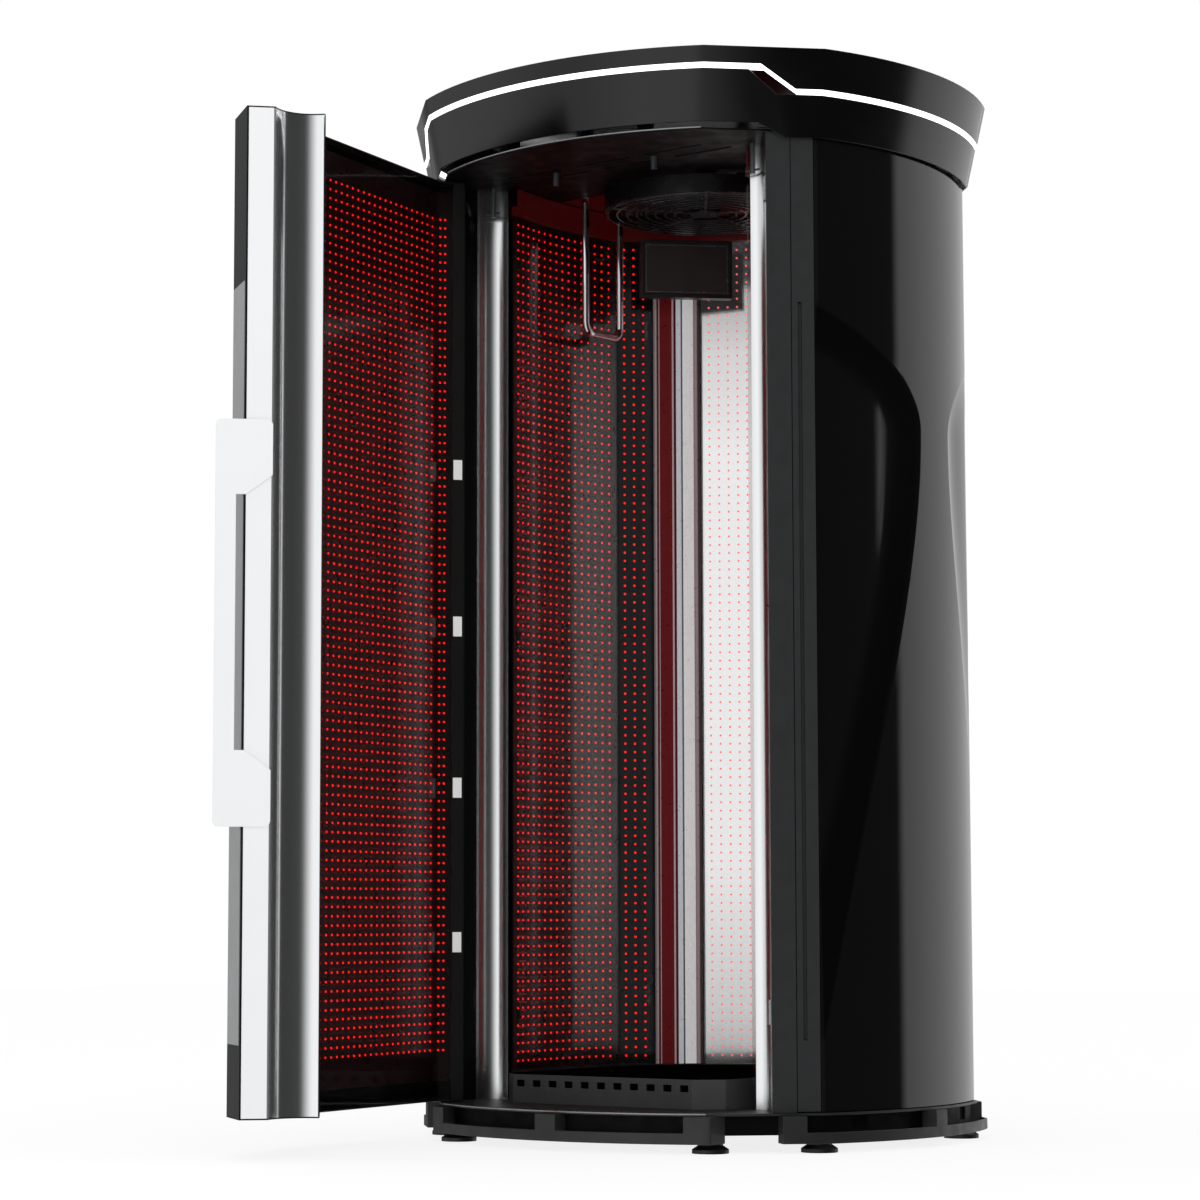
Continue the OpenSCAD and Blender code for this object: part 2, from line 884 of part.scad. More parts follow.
module display_screen() {
    color("#0a0b0d") at_display()
        translate([-display_w / 2 + 9.3, -display_t / 2 + 0.5, 9.3]) cube([display_w - 18.6, 2.5, display_h - 18.6]);
}

module display_bracket() {
    stand = cabin_r - profile_proud - norm(display_c) - touch;
    color("#1d1e20") at_display() {
        translate([-40, display_t / 2, display_h / 2 - 30]) cube([80, 4, 60]);
        translate([0, display_t / 2 + 4, display_h / 2]) rotate([-90, 0, 0])
            cylinder(d = 24, h = stand - display_t / 2 - 4);
    }
}

// Fan

fan_z = header_z - 8 - fan_h;
motor_r = 35;
motor_h = 12;
shaft_r = 4;
guard_rings = 8;

module fan_frame() {
    color("#232527") translate([0, fan_y, 0]) {
        difference() {
            translate([0, 0, fan_z]) cylinder(r = fan_r, h = fan_h);
            translate([0, 0, fan_z - 1]) cylinder(r = fan_r - 11, h = fan_h + 2);
        }
        for (a = [-120, -60]) rotate([0, 0, a]) translate([fan_r - 6, 0, fan_z + fan_h]) cylinder(d = 10, h = 8);
        for (a = [60, 120]) rotate([0, 0, a]) translate([fan_r - 6, 0, fan_z + fan_h])
            cylinder(d = 10, h = header_top + pan_h - 2 - fan_z - fan_h);
    }
}

module fan_guard() {
    wire = 3.6;
    color("#3b3d40") translate([0, fan_y, fan_z - 4]) {
        for (i = [1 : guard_rings]) rotate_extrude()
            translate([motor_r + 12 + i * (fan_r - 22 - motor_r) / guard_rings, 0]) square([wire, 3]);
        for (a = [18 : 72 : 306]) rotate([0, 0, a])
            translate([motor_r - 8, -3, 1]) cube([fan_r - motor_r + 6, 6, 3]);
        difference() {
            cylinder(r = motor_r - 2, h = 4);
            translate([0, 0, -1]) cylinder(r = 6, h = 6);
        }
    }
}

module fan_motor() {
    color("#111213") translate([0, fan_y, fan_z]) {
        cylinder(r = motor_r, h = motor_h);
        cylinder(r = shaft_r, h = motor_h + 24);
    }
}

module fan_rotor() {
    color("#1a1b1d") translate([0, fan_y, fan_z + motor_h + 2]) difference() {
        union() {
            cylinder(r = 32, h = 22);
            for (i = [0 : fan_blades - 1]) rotate([0, 0, i * 360 / fan_blades]) intersection() {
                rotate([24, 0, 0]) translate([20, -34, 10]) cube([fan_r - 46, 58, 2.4]);
                translate([0, 0, -4]) linear_extrude(30) difference() {
                    wedge(-20, 20);
                    circle(r = 28);
                    difference() {
                        circle(r = reach);
                        circle(r = fan_r - 26);
                    }
                }
            }
        }
        translate([0, 0, -5]) cylinder(r = shaft_r + 0.05, h = 40);
        translate([0, 0, -30]) cylinder(r = motor_r + 2, h = 30);
    }
}

// Electrical parts in the side cavities and the base

rack_x = cabin_half_w + 89;
rack_w = 340;
rack_h = 0.695 * (body_z1 - floor_top);
rack_t = 3;
drivers = 4;
driver_h = 210;
driver_t = 45;

module driver_racks() {
    color("#8c9094") both_sides() {
        translate([rack_x, -rack_w / 2, floor_top]) cube([rack_t, rack_w, rack_h]);
        translate([rack_x - 30, -rack_w / 2, floor_top]) cube([30, rack_w, rack_t]);
    }
}

module led_drivers() {
    pitch = (rack_h - 100) / drivers;
    color("#b5b8bb") both_sides() for (i = [0 : drivers - 1])
        translate([rack_x + rack_t, -rack_w / 4, floor_top + 80 + i * pitch])
            cube([driver_t, rack_w / 2, driver_h]);
}

gland_r = 12.5;

module gland_place() {
    translate([0, half_d - 185, floor_z]) children();
}

module cable_gland() {
    color("#1b1c1e") gland_place() difference() {
        union() {
            translate([0, 0, -22]) cylinder(r = 19, h = 22, $fn = 6);
            translate([0, 0, -30]) cylinder(r = 14, h = 30);
            translate([0, 0, -1]) cylinder(r = gland_r - touch, h = floor_t + 8);
            translate([0, 0, floor_t]) cylinder(r = 19, h = 7, $fn = 6);
        }
        translate([0, 0, -40]) cylinder(r = 7, h = 80);
    }
}

// Door hardware on the cabinet

pin_len = 30;

module hinge_pins() {
    color("#b9bcc0") translate([pivot[0], pivot[1], 0]) {
        translate([0, 0, floor_top]) {
            cylinder(d = pivot_d, h = door_gap + pin_len);
            cylinder(d = pivot_d + 10, h = door_gap - touch);
        }
        translate([0, 0, door_z1 - pin_len]) cylinder(d = pivot_d, h = header_z - door_z1 + pin_len);
        translate([0, 0, header_z - 2]) cylinder(d = pivot_d + 10, h = 2);
    }
}

module magnet_catches() {
    mid = chamfer_point(u_post, chamfer_out, 1) + 30 * face_dir;
    angle = atan2(face_dir[1], face_dir[0]);
    color("#6d7074") for (z = [door_z0 + 177, door_z1 - 140]) translate([mid[0], mid[1], z])
        rotate([0, 0, angle]) translate([-12, touch, 0]) cube([24, 3.5, 50]);
}

// Door

module door_reach() {
    polygon([
        chamfer_point(u_door, chamfer_out + 60, -1), chamfer_point(u_door, chamfer_out, -1), stile_s, panel_k,
        panel_j, [panel_end, -panel_y], ridge - [7, 0], ridge, end_in, end_out,
        end_out - 90 * face_dir, [reach / 3, -reach / 2], [-reach / 3, -reach / 2],
    ]);
}

module cove_circle(grow) {
    translate(arc_centre(ridge, end_in, cove_r)) circle(r = cove_r + grow);
}

// The closed door's whole section
module door_plan() {
    difference() {
        intersection() {
            outline(body_inset);
            door_reach();
        }
        cove_circle(0);
    }
}

module pivot_bores() {
    for (z = [door_z0 - 1, door_z1 - pin_len - 1]) translate([pivot[0], pivot[1], z])
        cylinder(r = pivot_d / 2 + pivot_fit, h = pin_len + 2);
}

module door_caps() {
    color("#1a1b1c") at_door() difference() {
        for (z = [door_z0, door_z1 - cap_t]) slab(z, z + cap_t) door_plan();
        pivot_bores();
    }
}

in_z0 = door_z0 + cap_t;
in_z1 = door_z1 - cap_t;
skin_in = body_inset + shell_t;

module door_skin() {
    color("#0d0d0e") at_door() slab(in_z0, in_z1) intersection() {
        door_plan();
        outline_ring(body_inset, skin_in);
    }
}

end_t = 5;

// The band along the closing face, the door's free end
module end_band(depth) {
    angle = atan2(face_dir[1], face_dir[0]);
    translate(end_out) rotate(angle) translate([-20, 0]) square([end_w + 30, depth]);
}

module door_edge_profile() {
    color("#f2f4f4") at_door() slab(in_z0, in_z1) intersection() {
        door_plan();
        outline(skin_in);
        end_band(end_t);
        difference() {
            outline(0);
            cove_circle(3);
        }
    }
}

module door_cove() {
    color("#d9dcdf") at_door() slab(in_z0, in_z1) intersection() {
        door_plan();
        outline(skin_in);
        difference() {
            cove_circle(3);
            cove_circle(0);
        }
    }
}

// The strip behind the door's flat panel and its 45 degree corner, from depth d0 to d1
module panel_strip(d0, d1) {
    t = tan(22.5);
    polygon([
        panel_k + [d0, d0] * -0.7071, panel_j + [-t * d0, -d0], [panel_end - 1, -panel_y - d0],
        [panel_end - 1, -panel_y - d1], panel_j + [-t * d1, -d1], panel_k + [d1, d1] * -0.7071,
    ]);
}

module door_cover() {
    color("#5a1a1e") at_door() slab(in_z0, in_z1) panel_strip(0, cover_t);
}

module door_led_board() {
    color("#7a1013") at_door() slab(in_z0 + 40, in_z1 - 20) panel_strip(board_in, board_in + board_t);
}

stile_k = panel_k + touch * [-0.7071, 0.7071];
hinge_stile = [
    chamfer_point(u_door - 1, chamfer_out - shell_t - touch, -1),
    chamfer_point(u_mid - 22, chamfer_out - shell_t - touch, -1),
    stile_k - [16, 16], stile_k, stile_s,
];

module lock_stile() {
    back = -panel_y - board_in - board_t - 6;
    polygon([
        [panel_end, back], [panel_end, -panel_y], ridge - [7, 0], ridge - [2, 4],
        [panel_end + 6, -panel_y], [panel_end + 6, back],
    ]);
}

module rib_plan() {
    back = board_in + board_t;
    difference() {
        intersection() {
            outline(skin_in + touch);
            door_reach();
            polygon([
                panel_j - back * [tan(22.5), 1], [end_out[0], -panel_y - back], [end_out[0], -reach],
                [-reach / 3, -reach], panel_k - [18, 18], panel_k - 0.7071 * [back, back],
            ]);
        }
        cove_circle(3 + touch);
        end_band(end_t + touch);
    }
}

module door_frame() {
    ribs = 5;
    color("#2a2c2e") at_door() difference() {
        union() {
            slab(in_z0, in_z1) {
                polygon(hinge_stile);
                lock_stile();
            }
            for (i = [0 : ribs - 1]) {
                z = in_z0 + i * (in_z1 - in_z0 - 4) / (ribs - 1);
                slab(z, z + 4) rib_plan();
            }
        }
        slab(in_z0 + 60, in_z1 - 60) polygon(shrunk(hinge_stile, 0.85));
        pivot_bores();
    }
}

// The handle: a flat plate on the closing face, with its grip beyond the door's outer skin.
// Its outline is drawn with X along the closing face and Y up.
module handle_outline() {
    flange = 108;
    corner = 12;
    outer = -(grip_w + slot_w - 4);
    difference() {
        union() {
            for (x = [outer + corner, end_w - 1 - corner], y = [corner, handle_len - corner])
                translate([x, y]) circle(r = corner, $fn = 48);
            translate([outer, corner]) square([end_w - 1 - outer, handle_len - 2 * corner]);
            translate([outer + corner, 0]) square([end_w - 1 - outer - 2 * corner, handle_len]);
        }
        polygon([
            [outer + grip_w, flange + 44], [4, flange + 44], [end_w + 5, flange],
            [end_w + 5, handle_len - flange], [4, handle_len - flange - 44],
            [outer + grip_w, handle_len - flange - 44],
        ]);
    }
}

module door_handle() {
    angle = atan2(face_dir[1], face_dir[0]);
    color("#f4f6f6") at_door() translate([end_out[0], end_out[1], handle_z0]) rotate([0, 0, angle])
        rotate([90, 0, 0]) linear_extrude(handle_t) handle_outline();
}

// The grey plate let into the door's outer chamfer beside the handle
module door_edge_plate() {
    plate_t = 2.5;
    color("#8d9093") at_door() slab(recess_z0, recess_z1) rotate(45)
        translate([u_mid - 70, -chamfer_out - plate_t]) square([107, plate_t]);
}

module hinge_leaves() {
    leaf_h = 44;
    color("#e4e6e8") at_door() for (share = [0.1689, 0.3348, 0.5096, 0.6809])
        translate([panel_k[0], panel_k[1], door_z0 + share * (door_z1 - door_z0) - leaf_h / 2])
            rotate([0, 0, 135]) translate([1, -2.5, 0]) cube([20, 2.5, leaf_h]);
}

module door_seal() {
    a = chamfer_point(u_door - 1, chamfer_out - shell_t, -1);
    b = stile_s;
    m = a * 0.35 + b * 0.65;
    color("#101010") at_door() translate([m[0], m[1], in_z0])
        rotate([0, 0, atan2(b[1] - a[1], b[0] - a[0])]) translate([-5, touch, 0]) cube([10, 4, in_z1 - in_z0]);
}

base_frame();
levelling_feet();
base_skirt_front();
base_skirt_rear();
base_skirt_left();
base_skirt_right();
floor_plate();
step_platform();
front_post_left();
front_post_right();
rear_posts();
corner_strips();
side_shell_left();
side_shell_right();
rear_shell();
canopy_fascia_upper();
canopy_light_line();
canopy_fascia_lower();
canopy_frame();
roof_panel();
ceiling_header();
ceiling_pan();
ceiling_studs();
jamb_reflector_left();
jamb_reflector_right();
led_board_left();
led_board_right();
led_board_rear();
wall_cover_left();
wall_cover_right();
wall_cover_rear();
corner_profiles();
wall_rail_top();
wall_rail_bottom();
grab_handle_left();
grab_handle_right();
display_housing();
display_screen();
display_bracket();
fan_frame();
fan_guard();
fan_motor();
fan_rotor();
driver_racks();
led_drivers();
cable_gland();
hinge_pins();
magnet_catches();
door_skin();
door_frame();
door_led_board();
door_cover();
door_edge_profile();
door_cove();
door_handle();
door_edge_plate();
hinge_leaves();
door_caps();
door_seal();
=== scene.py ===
import json
import math

import bpy
import numpy as np
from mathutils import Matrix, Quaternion, Vector


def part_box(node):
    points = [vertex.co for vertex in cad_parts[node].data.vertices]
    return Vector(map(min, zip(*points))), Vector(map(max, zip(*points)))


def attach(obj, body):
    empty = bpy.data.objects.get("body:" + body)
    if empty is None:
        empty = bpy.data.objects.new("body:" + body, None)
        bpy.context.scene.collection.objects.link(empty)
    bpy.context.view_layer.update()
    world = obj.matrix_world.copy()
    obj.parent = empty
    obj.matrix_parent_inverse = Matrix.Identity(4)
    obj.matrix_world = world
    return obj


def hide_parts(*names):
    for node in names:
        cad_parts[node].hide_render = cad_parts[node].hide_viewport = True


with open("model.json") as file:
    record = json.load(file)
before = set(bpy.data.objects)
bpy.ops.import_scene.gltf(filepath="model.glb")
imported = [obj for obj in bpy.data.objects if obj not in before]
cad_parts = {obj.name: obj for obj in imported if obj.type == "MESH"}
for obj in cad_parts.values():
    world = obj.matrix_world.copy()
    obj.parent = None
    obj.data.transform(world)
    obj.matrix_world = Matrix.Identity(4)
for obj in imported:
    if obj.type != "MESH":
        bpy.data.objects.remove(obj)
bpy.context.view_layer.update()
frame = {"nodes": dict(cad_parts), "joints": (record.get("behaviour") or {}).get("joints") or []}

# Everything is in metres, in the frame of the CAD model: the origin on the floor under the middle
# of the cabinet, the front towards -Y and up +Z.

# Driving dimensions that the looks share with the construction
WALL_RADIUS = 0.975
CABIN_HALF_WIDTH = 0.331
WALL_CENTRE_Y = -0.076
PANEL_DISTANCE = 0.298
BOARD_BEHIND_COVER = 0.014
DOOR_PANEL_Y = -0.378
DOOR_OPEN = math.radians(80)

# The lamps' grid
LAMP_PITCH_ACROSS = 0.0225
LAMP_PITCH_UP = 0.0194
LAMP_RADIUS = 0.0026
LAMP_HEIGHT = 0.0022
# How much wider the pale lamps of the flat rear panels are
PALE_WIDER = 1.05

# The camera of the photograph, solved from its vanishing lines and the cabinet's outline
CAMERA_PLACE = Vector((4.3006, -5.9949, 0.4693))
CAMERA_HEADING = math.radians(37.3935)
CAMERA_PITCH = math.radians(5.5746)
CAMERA_ROLL = math.radians(-0.1219)
CAMERA_LENS = 99.127
CAMERA_SENSOR = 36
CAMERA_NEAR, CAMERA_FAR = 0.1, 100


def make_camera():
    """The photograph's view, in plain colours."""
    data = bpy.data.cameras.new("camera")
    data.lens = CAMERA_LENS
    data.sensor_width = CAMERA_SENSOR
    data.clip_start = CAMERA_NEAR
    data.clip_end = CAMERA_FAR
    camera = bpy.data.objects.new("camera", data)
    bpy.context.scene.collection.objects.link(camera)
    level = math.cos(CAMERA_PITCH)
    ahead = Vector((-math.sin(CAMERA_HEADING) * level, math.cos(CAMERA_HEADING) * level,
                    math.sin(CAMERA_PITCH)))
    turn = ahead.to_track_quat("-Z", "Y")
    camera.location = CAMERA_PLACE
    camera.rotation_mode = "QUATERNION"
    camera.rotation_quaternion = turn @ Quaternion((0, 0, 1), CAMERA_ROLL)
    bpy.context.scene.camera = camera
    bpy.context.scene.view_settings.view_transform = "Standard"


# Node helpers

class Tree:
    """Short names for building a node tree."""

    def __init__(self, tree, keep=False):
        self.tree = tree
        if not keep:
            tree.nodes.clear()

    def node(self, kind, inputs=None, **settings):
        made = self.tree.nodes.new("ShaderNode" + kind)
        for name, value in settings.items():
            setattr(made, name, value)
        for name, value in (inputs or {}).items():
            if isinstance(value, bpy.types.NodeSocket):
                self.tree.links.new(value, made.inputs[name])
            else:
                made.inputs[name].default_value = value
        return made

    def find(self, kind):
        """The tree's node of a kind, such as its output."""
        return next(n for n in self.tree.nodes if n.type == kind)

    def link(self, source, target):
        self.tree.links.new(source, target)

    def math(self, operation, a, b=0.0):
        return self.node("Math", {0: a, 1: b}, operation=operation).outputs[0]

    def ramp(self, fac, stops, mode="LINEAR"):
        made = self.node("ValToRGB", {"Fac": fac})
        ramp = made.color_ramp
        ramp.interpolation = mode
        while len(ramp.elements) < len(stops):
            ramp.elements.new(0.5)
        for element, (position, colour) in zip(ramp.elements, stops):
            element.position = position
            element.color = grey(colour) if isinstance(colour, float) else (*colour, 1)
        return made.outputs["Color"]

    def noise(self, scale, detail=3.0, stretch=(1, 1, 1)):
        place = self.node("TexCoord").outputs["Object"]
        mapped = self.node("Mapping", {"Vector": place, "Scale": stretch}).outputs[0]
        return self.node("TexNoise", {"Vector": mapped, "Scale": scale, "Detail": detail}).outputs["Fac"]

    def varied(self, noise, low, high, first=0.3, last=0.7):
        """A colour or a grey between low and high, as the noise passes from first to last."""
        return self.ramp(noise, [(first, low), (last, high)])

    def place(self):
        """X, Y and Z in the node's own axes."""
        return self.node("SeparateXYZ", {0: self.node("TexCoord").outputs["Object"]}).outputs


def new_material(name):
    """An empty material and its tree."""
    material = bpy.data.materials.new(name)
    material.use_nodes = True
    return material, Tree(material.node_tree)


def grey(value):
    return (value, value, value, 1)


def hex_colour(text):
    """Linear RGB of a colour written as in the photograph's sRGB."""
    parts = [int(text[i:i + 2], 16) / 255 for i in (0, 2, 4)]
    return tuple(c / 12.92 if c <= 0.04045 else ((c + 0.055) / 1.055) ** 2.4 for c in parts)


# Height of the fine grain of moulded and painted surfaces
GRAIN_HEIGHT = 0.0004


def surface(name, colour, roughness, metallic=0.0, spread=0.06, grain=0.0, grain_scale=900.0,
            stretch=(1, 1, 1), mottle=9.0, edge=0.0, specular=0.5):
    """A finish: mottled colour, roughness that varies as on wiped or handled surfaces, and a fine grain."""
    material, t = new_material(name)
    r, g, b = hex_colour(colour)
    shader = t.node("BsdfPrincipled", {"Metallic": metallic, "Specular IOR Level": specular})
    blotch = t.noise(mottle, 4.0, stretch)
    low, high = 1 - spread, 1 + spread
    colours = t.varied(blotch, (r * low, g * low, b * low), (r * high, g * high, b * high))
    if edge:
        worn = t.ramp(t.node("NewGeometry").outputs["Pointiness"], [(0.5, 0.0), (0.58, edge)])
        colours = t.node("Mix", {0: worn, 6: colours, 7: grey(0.5)}, data_type="RGBA").outputs[2]
    t.link(colours, shader.inputs["Base Color"])
    smear = t.varied(t.noise(mottle * 3, 5.0, stretch), roughness * 0.82, min(1.0, roughness * 1.2 + 0.01))
    t.link(smear, shader.inputs["Roughness"])
    if grain:
        fine = t.noise(grain_scale, 2.0, stretch)
        bump = t.node("Bump", {"Height": fine, "Strength": grain, "Distance": GRAIN_HEIGHT})
        t.link(bump.outputs[0], shader.inputs["Normal"])
    t.node("OutputMaterial", {"Surface": shader.outputs[0]})
    return material


def compass(degrees):
    """The level direction at so many degrees from +X towards +Y."""
    return (math.cos(math.radians(degrees)), math.sin(math.radians(degrees)), 0)


# Cosine of the small angle within which a face counts as one that faces a given way
FACES_THE_WAY = 0.997
# The paint on such faces
PAINT_ROUGHNESS = 0.6
PAINT_GRAIN = {"Strength": 0.15, "Distance": 0.0003}


def painted_faces(material, facings, low, high, dull=False):
    """Paints the faces towards the facings, in the node's own axes, in a colour between low and high."""
    t = Tree(material.node_tree, keep=True)
    output = t.find("OUTPUT_MATERIAL")
    gloss = t.find("BSDF_PRINCIPLED")
    world = t.node("NewGeometry").outputs["True Normal"]
    way = t.node("VectorTransform", {0: world}, vector_type="NORMAL", convert_from="WORLD",
                 convert_to="OBJECT")
    masks = []
    for facing in facings:
        towards = t.node("VectorMath", {0: way.outputs[0], 1: facing}, operation="DOT_PRODUCT")
        masks.append(t.math("GREATER_THAN", towards.outputs["Value"], FACES_THE_WAY))
    painted = masks[0]
    for mask in masks[1:]:
        painted = t.math("MAXIMUM", painted, mask)
    paint = t.varied(t.noise(30.0, 5.0), hex_colour(low), hex_colour(high))
    if dull:
        matt = t.node("BsdfDiffuse", {"Color": paint, "Roughness": PAINT_ROUGHNESS})
    else:
        matt = t.node("BsdfPrincipled", {"Base Color": paint, "Roughness": PAINT_ROUGHNESS})
    bump = t.node("Bump", {"Height": t.noise(1200.0, 2.0), **PAINT_GRAIN})
    t.link(bump.outputs[0], matt.inputs["Normal"])
    mixed = t.node("MixShader", {0: painted, 1: gloss.outputs[0], 2: matt.outputs[0]})
    t.link(mixed.outputs[0], output.inputs["Surface"])
    return material


def painted_lamp_glow(material, colour, strength):
    """The finish with an even painted glow: painted light that stands in for the light that the lamps beside
    it throw on it.
    """
    shader = Tree(material.node_tree, keep=True).find("BSDF_PRINCIPLED")
    shader.inputs["Emission Color"].default_value = (*hex_colour(colour), 1)
    shader.inputs["Emission Strength"].default_value = strength
    return material


# How far the left and the right jamb's chrome is dished beyond its plain arc, in degrees
DISHED_LEFT, DISHED_RIGHT = 10, 21


def dished(material):
    """Turns the shading of the jambs' chrome, so that it mirrors as the deeper dished real one does."""
    t = Tree(material.node_tree, keep=True)
    shader = t.find("BSDF_PRINCIPLED")
    normal = shader.inputs["Normal"].links[0].from_socket
    right = t.math("GREATER_THAN", t.place()["X"], 0.0)
    more = t.math("MULTIPLY", right, math.radians(DISHED_RIGHT - DISHED_LEFT))
    angle = t.math("ADD", more, math.radians(DISHED_LEFT))
    leaning = t.node("VectorRotate", {"Vector": normal, "Angle": angle}, rotation_type="Z_AXIS")
    t.link(leaning.outputs[0], shader.inputs["Normal"])
    return material


def glow(name, colour, strength):
    """A lamp's or light guide's face: it shines evenly and has its own dull body."""
    material, t = new_material(name)
    tone = (*hex_colour(colour), 1)
    shader = t.node("BsdfPrincipled", {"Base Color": tone, "Roughness": 0.4, "Emission Color": tone,
                                       "Emission Strength": strength})
    t.node("OutputMaterial", {"Surface": shader.outputs[0]})
    material.cycles.emission_sampling = "NONE"
    return material


def gloss_shell(name):
    """Polished black panels; the recesses' bevels carry a painted shade, a near black base colour, that sets
    them darker than the rest.
    """
    material = surface(name, "090909", 0.05, spread=0.08, grain=0.01, grain_scale=40, mottle=3)
    t = Tree(material.node_tree, keep=True)
    shader = t.find("BSDF_PRINCIPLED")
    base = shader.inputs["Base Color"].links[0].from_socket
    # Painted shade: the bevel attribute turns the base colour near black on the recesses' bevels
    bevel = t.node("Attribute", attribute_name="bevel").outputs["Fac"]
    mixed = t.node("Mix", {0: bevel, 6: base, 7: grey(0.0006)}, data_type="RGBA").outputs[2]
    t.link(mixed, shader.inputs["Base Color"])
    return material


# Painted reflection on the rear boards: how bright the room that they mirror is painted, by height as a
# share of their upper edge's; it is darker towards the top and the bottom
BOARD_TOP = 2.0
PAINTED_REFLECTION_TONES = [(0.07, 0.42), (0.13, 0.62), (0.3, 0.93), (0.5, 0.97), (0.78, 0.97), (0.9, 0.74),
                  (0.95, 0.52)]


def rear_board(name):
    """The rear boards: black on the 45 degree panels, polished like a mirror on the two flat ones, where the
    brightness of the mirrored room is a painted reflection by height, with a faint painted glow.
    """
    material = surface(name, "0a0809", 0.3, grain=0.1, grain_scale=300)
    t = Tree(material.node_tree, keep=True)
    output = t.find("OUTPUT_MATERIAL")
    black = t.find("BSDF_PRINCIPLED")
    place = t.place()
    flat = t.math("GREATER_THAN", place["Y"], t.math("ABSOLUTE", place["X"]))
    wiped = t.varied(t.noise(7.0, 5.0, (1, 1, 0.3)), 0.07, 0.14, last=0.75)
    height = t.math("DIVIDE", place["Z"], BOARD_TOP)
    # Painted reflection: the base colour follows the height, and a faint white emission is a painted glow
    polished = t.node("BsdfPrincipled", {"Base Color": t.ramp(height, PAINTED_REFLECTION_TONES), "Metallic": 1.0,
                                         "Roughness": wiped, "Emission Color": grey(1.0),
                                         "Emission Strength": 0.02})
    mixed = t.node("MixShader", {0: flat, 1: black.outputs[0], 2: polished.outputs[0]})
    t.link(mixed.outputs[0], output.inputs["Surface"])
    return material


# The ribs and flanks of the rear profiles: the angle round the cabin from which each starts, in degrees, its
# colour, partly the aluminium's grey and partly a painted reflection of the white room or the red lamps, and
# the strength of its painted glow
PROFILE_BANDS = [
    (30.0, "b9adaf", 0.16), (35.1, "642428", 0.20), (36.0, "c3b4b6", 0.22), (36.8, "741a1e", 0.18),
    (42.0, "c9b2b4", 0.25), (42.8, "701e22", 0.12), (43.9, "ccd4d9", 0.42), (46.4, "6f7376", 0.08),
    (47.1, "dededf", 0.50), (51.9, "a08d90", 0.25), (53.6, "5a5254", 0.05),
]
# The angle at which the bands begin, and how many degrees the scale of their starts spans
PROFILE_FIRST, PROFILE_SPAN = 30, 30


def profile_with_painted_reflections(name):
    """Drawn aluminium in bands that run up the profile; the bands' colours and glow are partly painted
    reflections of the white room and the red lamps.
    """
    material, t = new_material(name)
    place = t.place()
    angle = t.math("ARCTAN2", place["Y"], t.math("ABSOLUTE", place["X"]))
    past = t.math("SUBTRACT", angle, math.radians(PROFILE_FIRST))
    share = t.math("DIVIDE", past, math.radians(PROFILE_SPAN))
    starts = [(start - PROFILE_FIRST) / PROFILE_SPAN for start, _, _ in PROFILE_BANDS]
    stops = [(start, hex_colour(colour)) for start, (_, colour, _) in zip(starts, PROFILE_BANDS)]
    shine = [(start, level) for start, (_, _, level) in zip(starts, PROFILE_BANDS)]
    # Painted reflections: the band colours hold the mirrored room and lamps, and each band has a painted
    # glow
    colour = t.ramp(share, stops, "CONSTANT")
    drawn = t.varied(t.noise(1500.0, 2.0, (1, 1, 0.05)), 0.8, 1.0, first=0.35, last=0.65)
    grained = t.node("Mix", {0: 1.0, 6: colour, 7: drawn}, data_type="RGBA",
                     blend_type="MULTIPLY").outputs[2]
    rough = t.varied(t.noise(60.0, 4.0), 0.26, 0.38)
    glimmer = t.ramp(share, shine, "CONSTANT")
    shader = t.node("BsdfPrincipled", {"Base Color": grained, "Metallic": 0.5, "Roughness": rough,
                                       "Emission Color": grained, "Emission Strength": glimmer})
    t.node("OutputMaterial", {"Surface": shader.outputs[0]})
    return material


# How much light a polished acrylic face mirrors when seen square on
SHEET_MIRROR = 0.032


def clear_cover(name, tint):
    """A polished acrylic sheet: what is behind it shows, and it mirrors the room as glass does."""
    material, t = new_material(name)
    behind = t.node("BsdfTransparent", {"Color": (*hex_colour(tint), 1)}).outputs[0]
    wiped = t.varied(t.noise(5.0, 5.0, (1, 1, 0.2)), 0.02, 0.07, last=0.75)
    mirror = t.node("BsdfGlossy", {"Color": grey(1.0), "Roughness": wiped}).outputs[0]
    slant = t.math("POWER", t.node("LayerWeight", {"Blend": 0.5}).outputs["Facing"], 5.0)
    share = t.math("ADD", t.math("MULTIPLY", slant, 1 - SHEET_MIRROR), SHEET_MIRROR)
    mixed = t.node("MixShader", {0: share, 1: behind, 2: mirror})
    t.node("OutputMaterial", {"Surface": mixed.outputs[0]})
    return material


def black_gloss(name, colour, roughness):
    """Polished black paint, very slightly wavy."""
    return surface(name, colour, roughness, spread=0.1, grain=0.02, grain_scale=60, mottle=3)


def polished_chrome(name, roughness):
    """Chrome with the fine lines of its drawing, which run up."""
    return surface(name, "f4f6f7", roughness, metallic=1.0, spread=0.02, grain=0.05, grain_scale=1400,
                   stretch=(1, 1, 0.02))
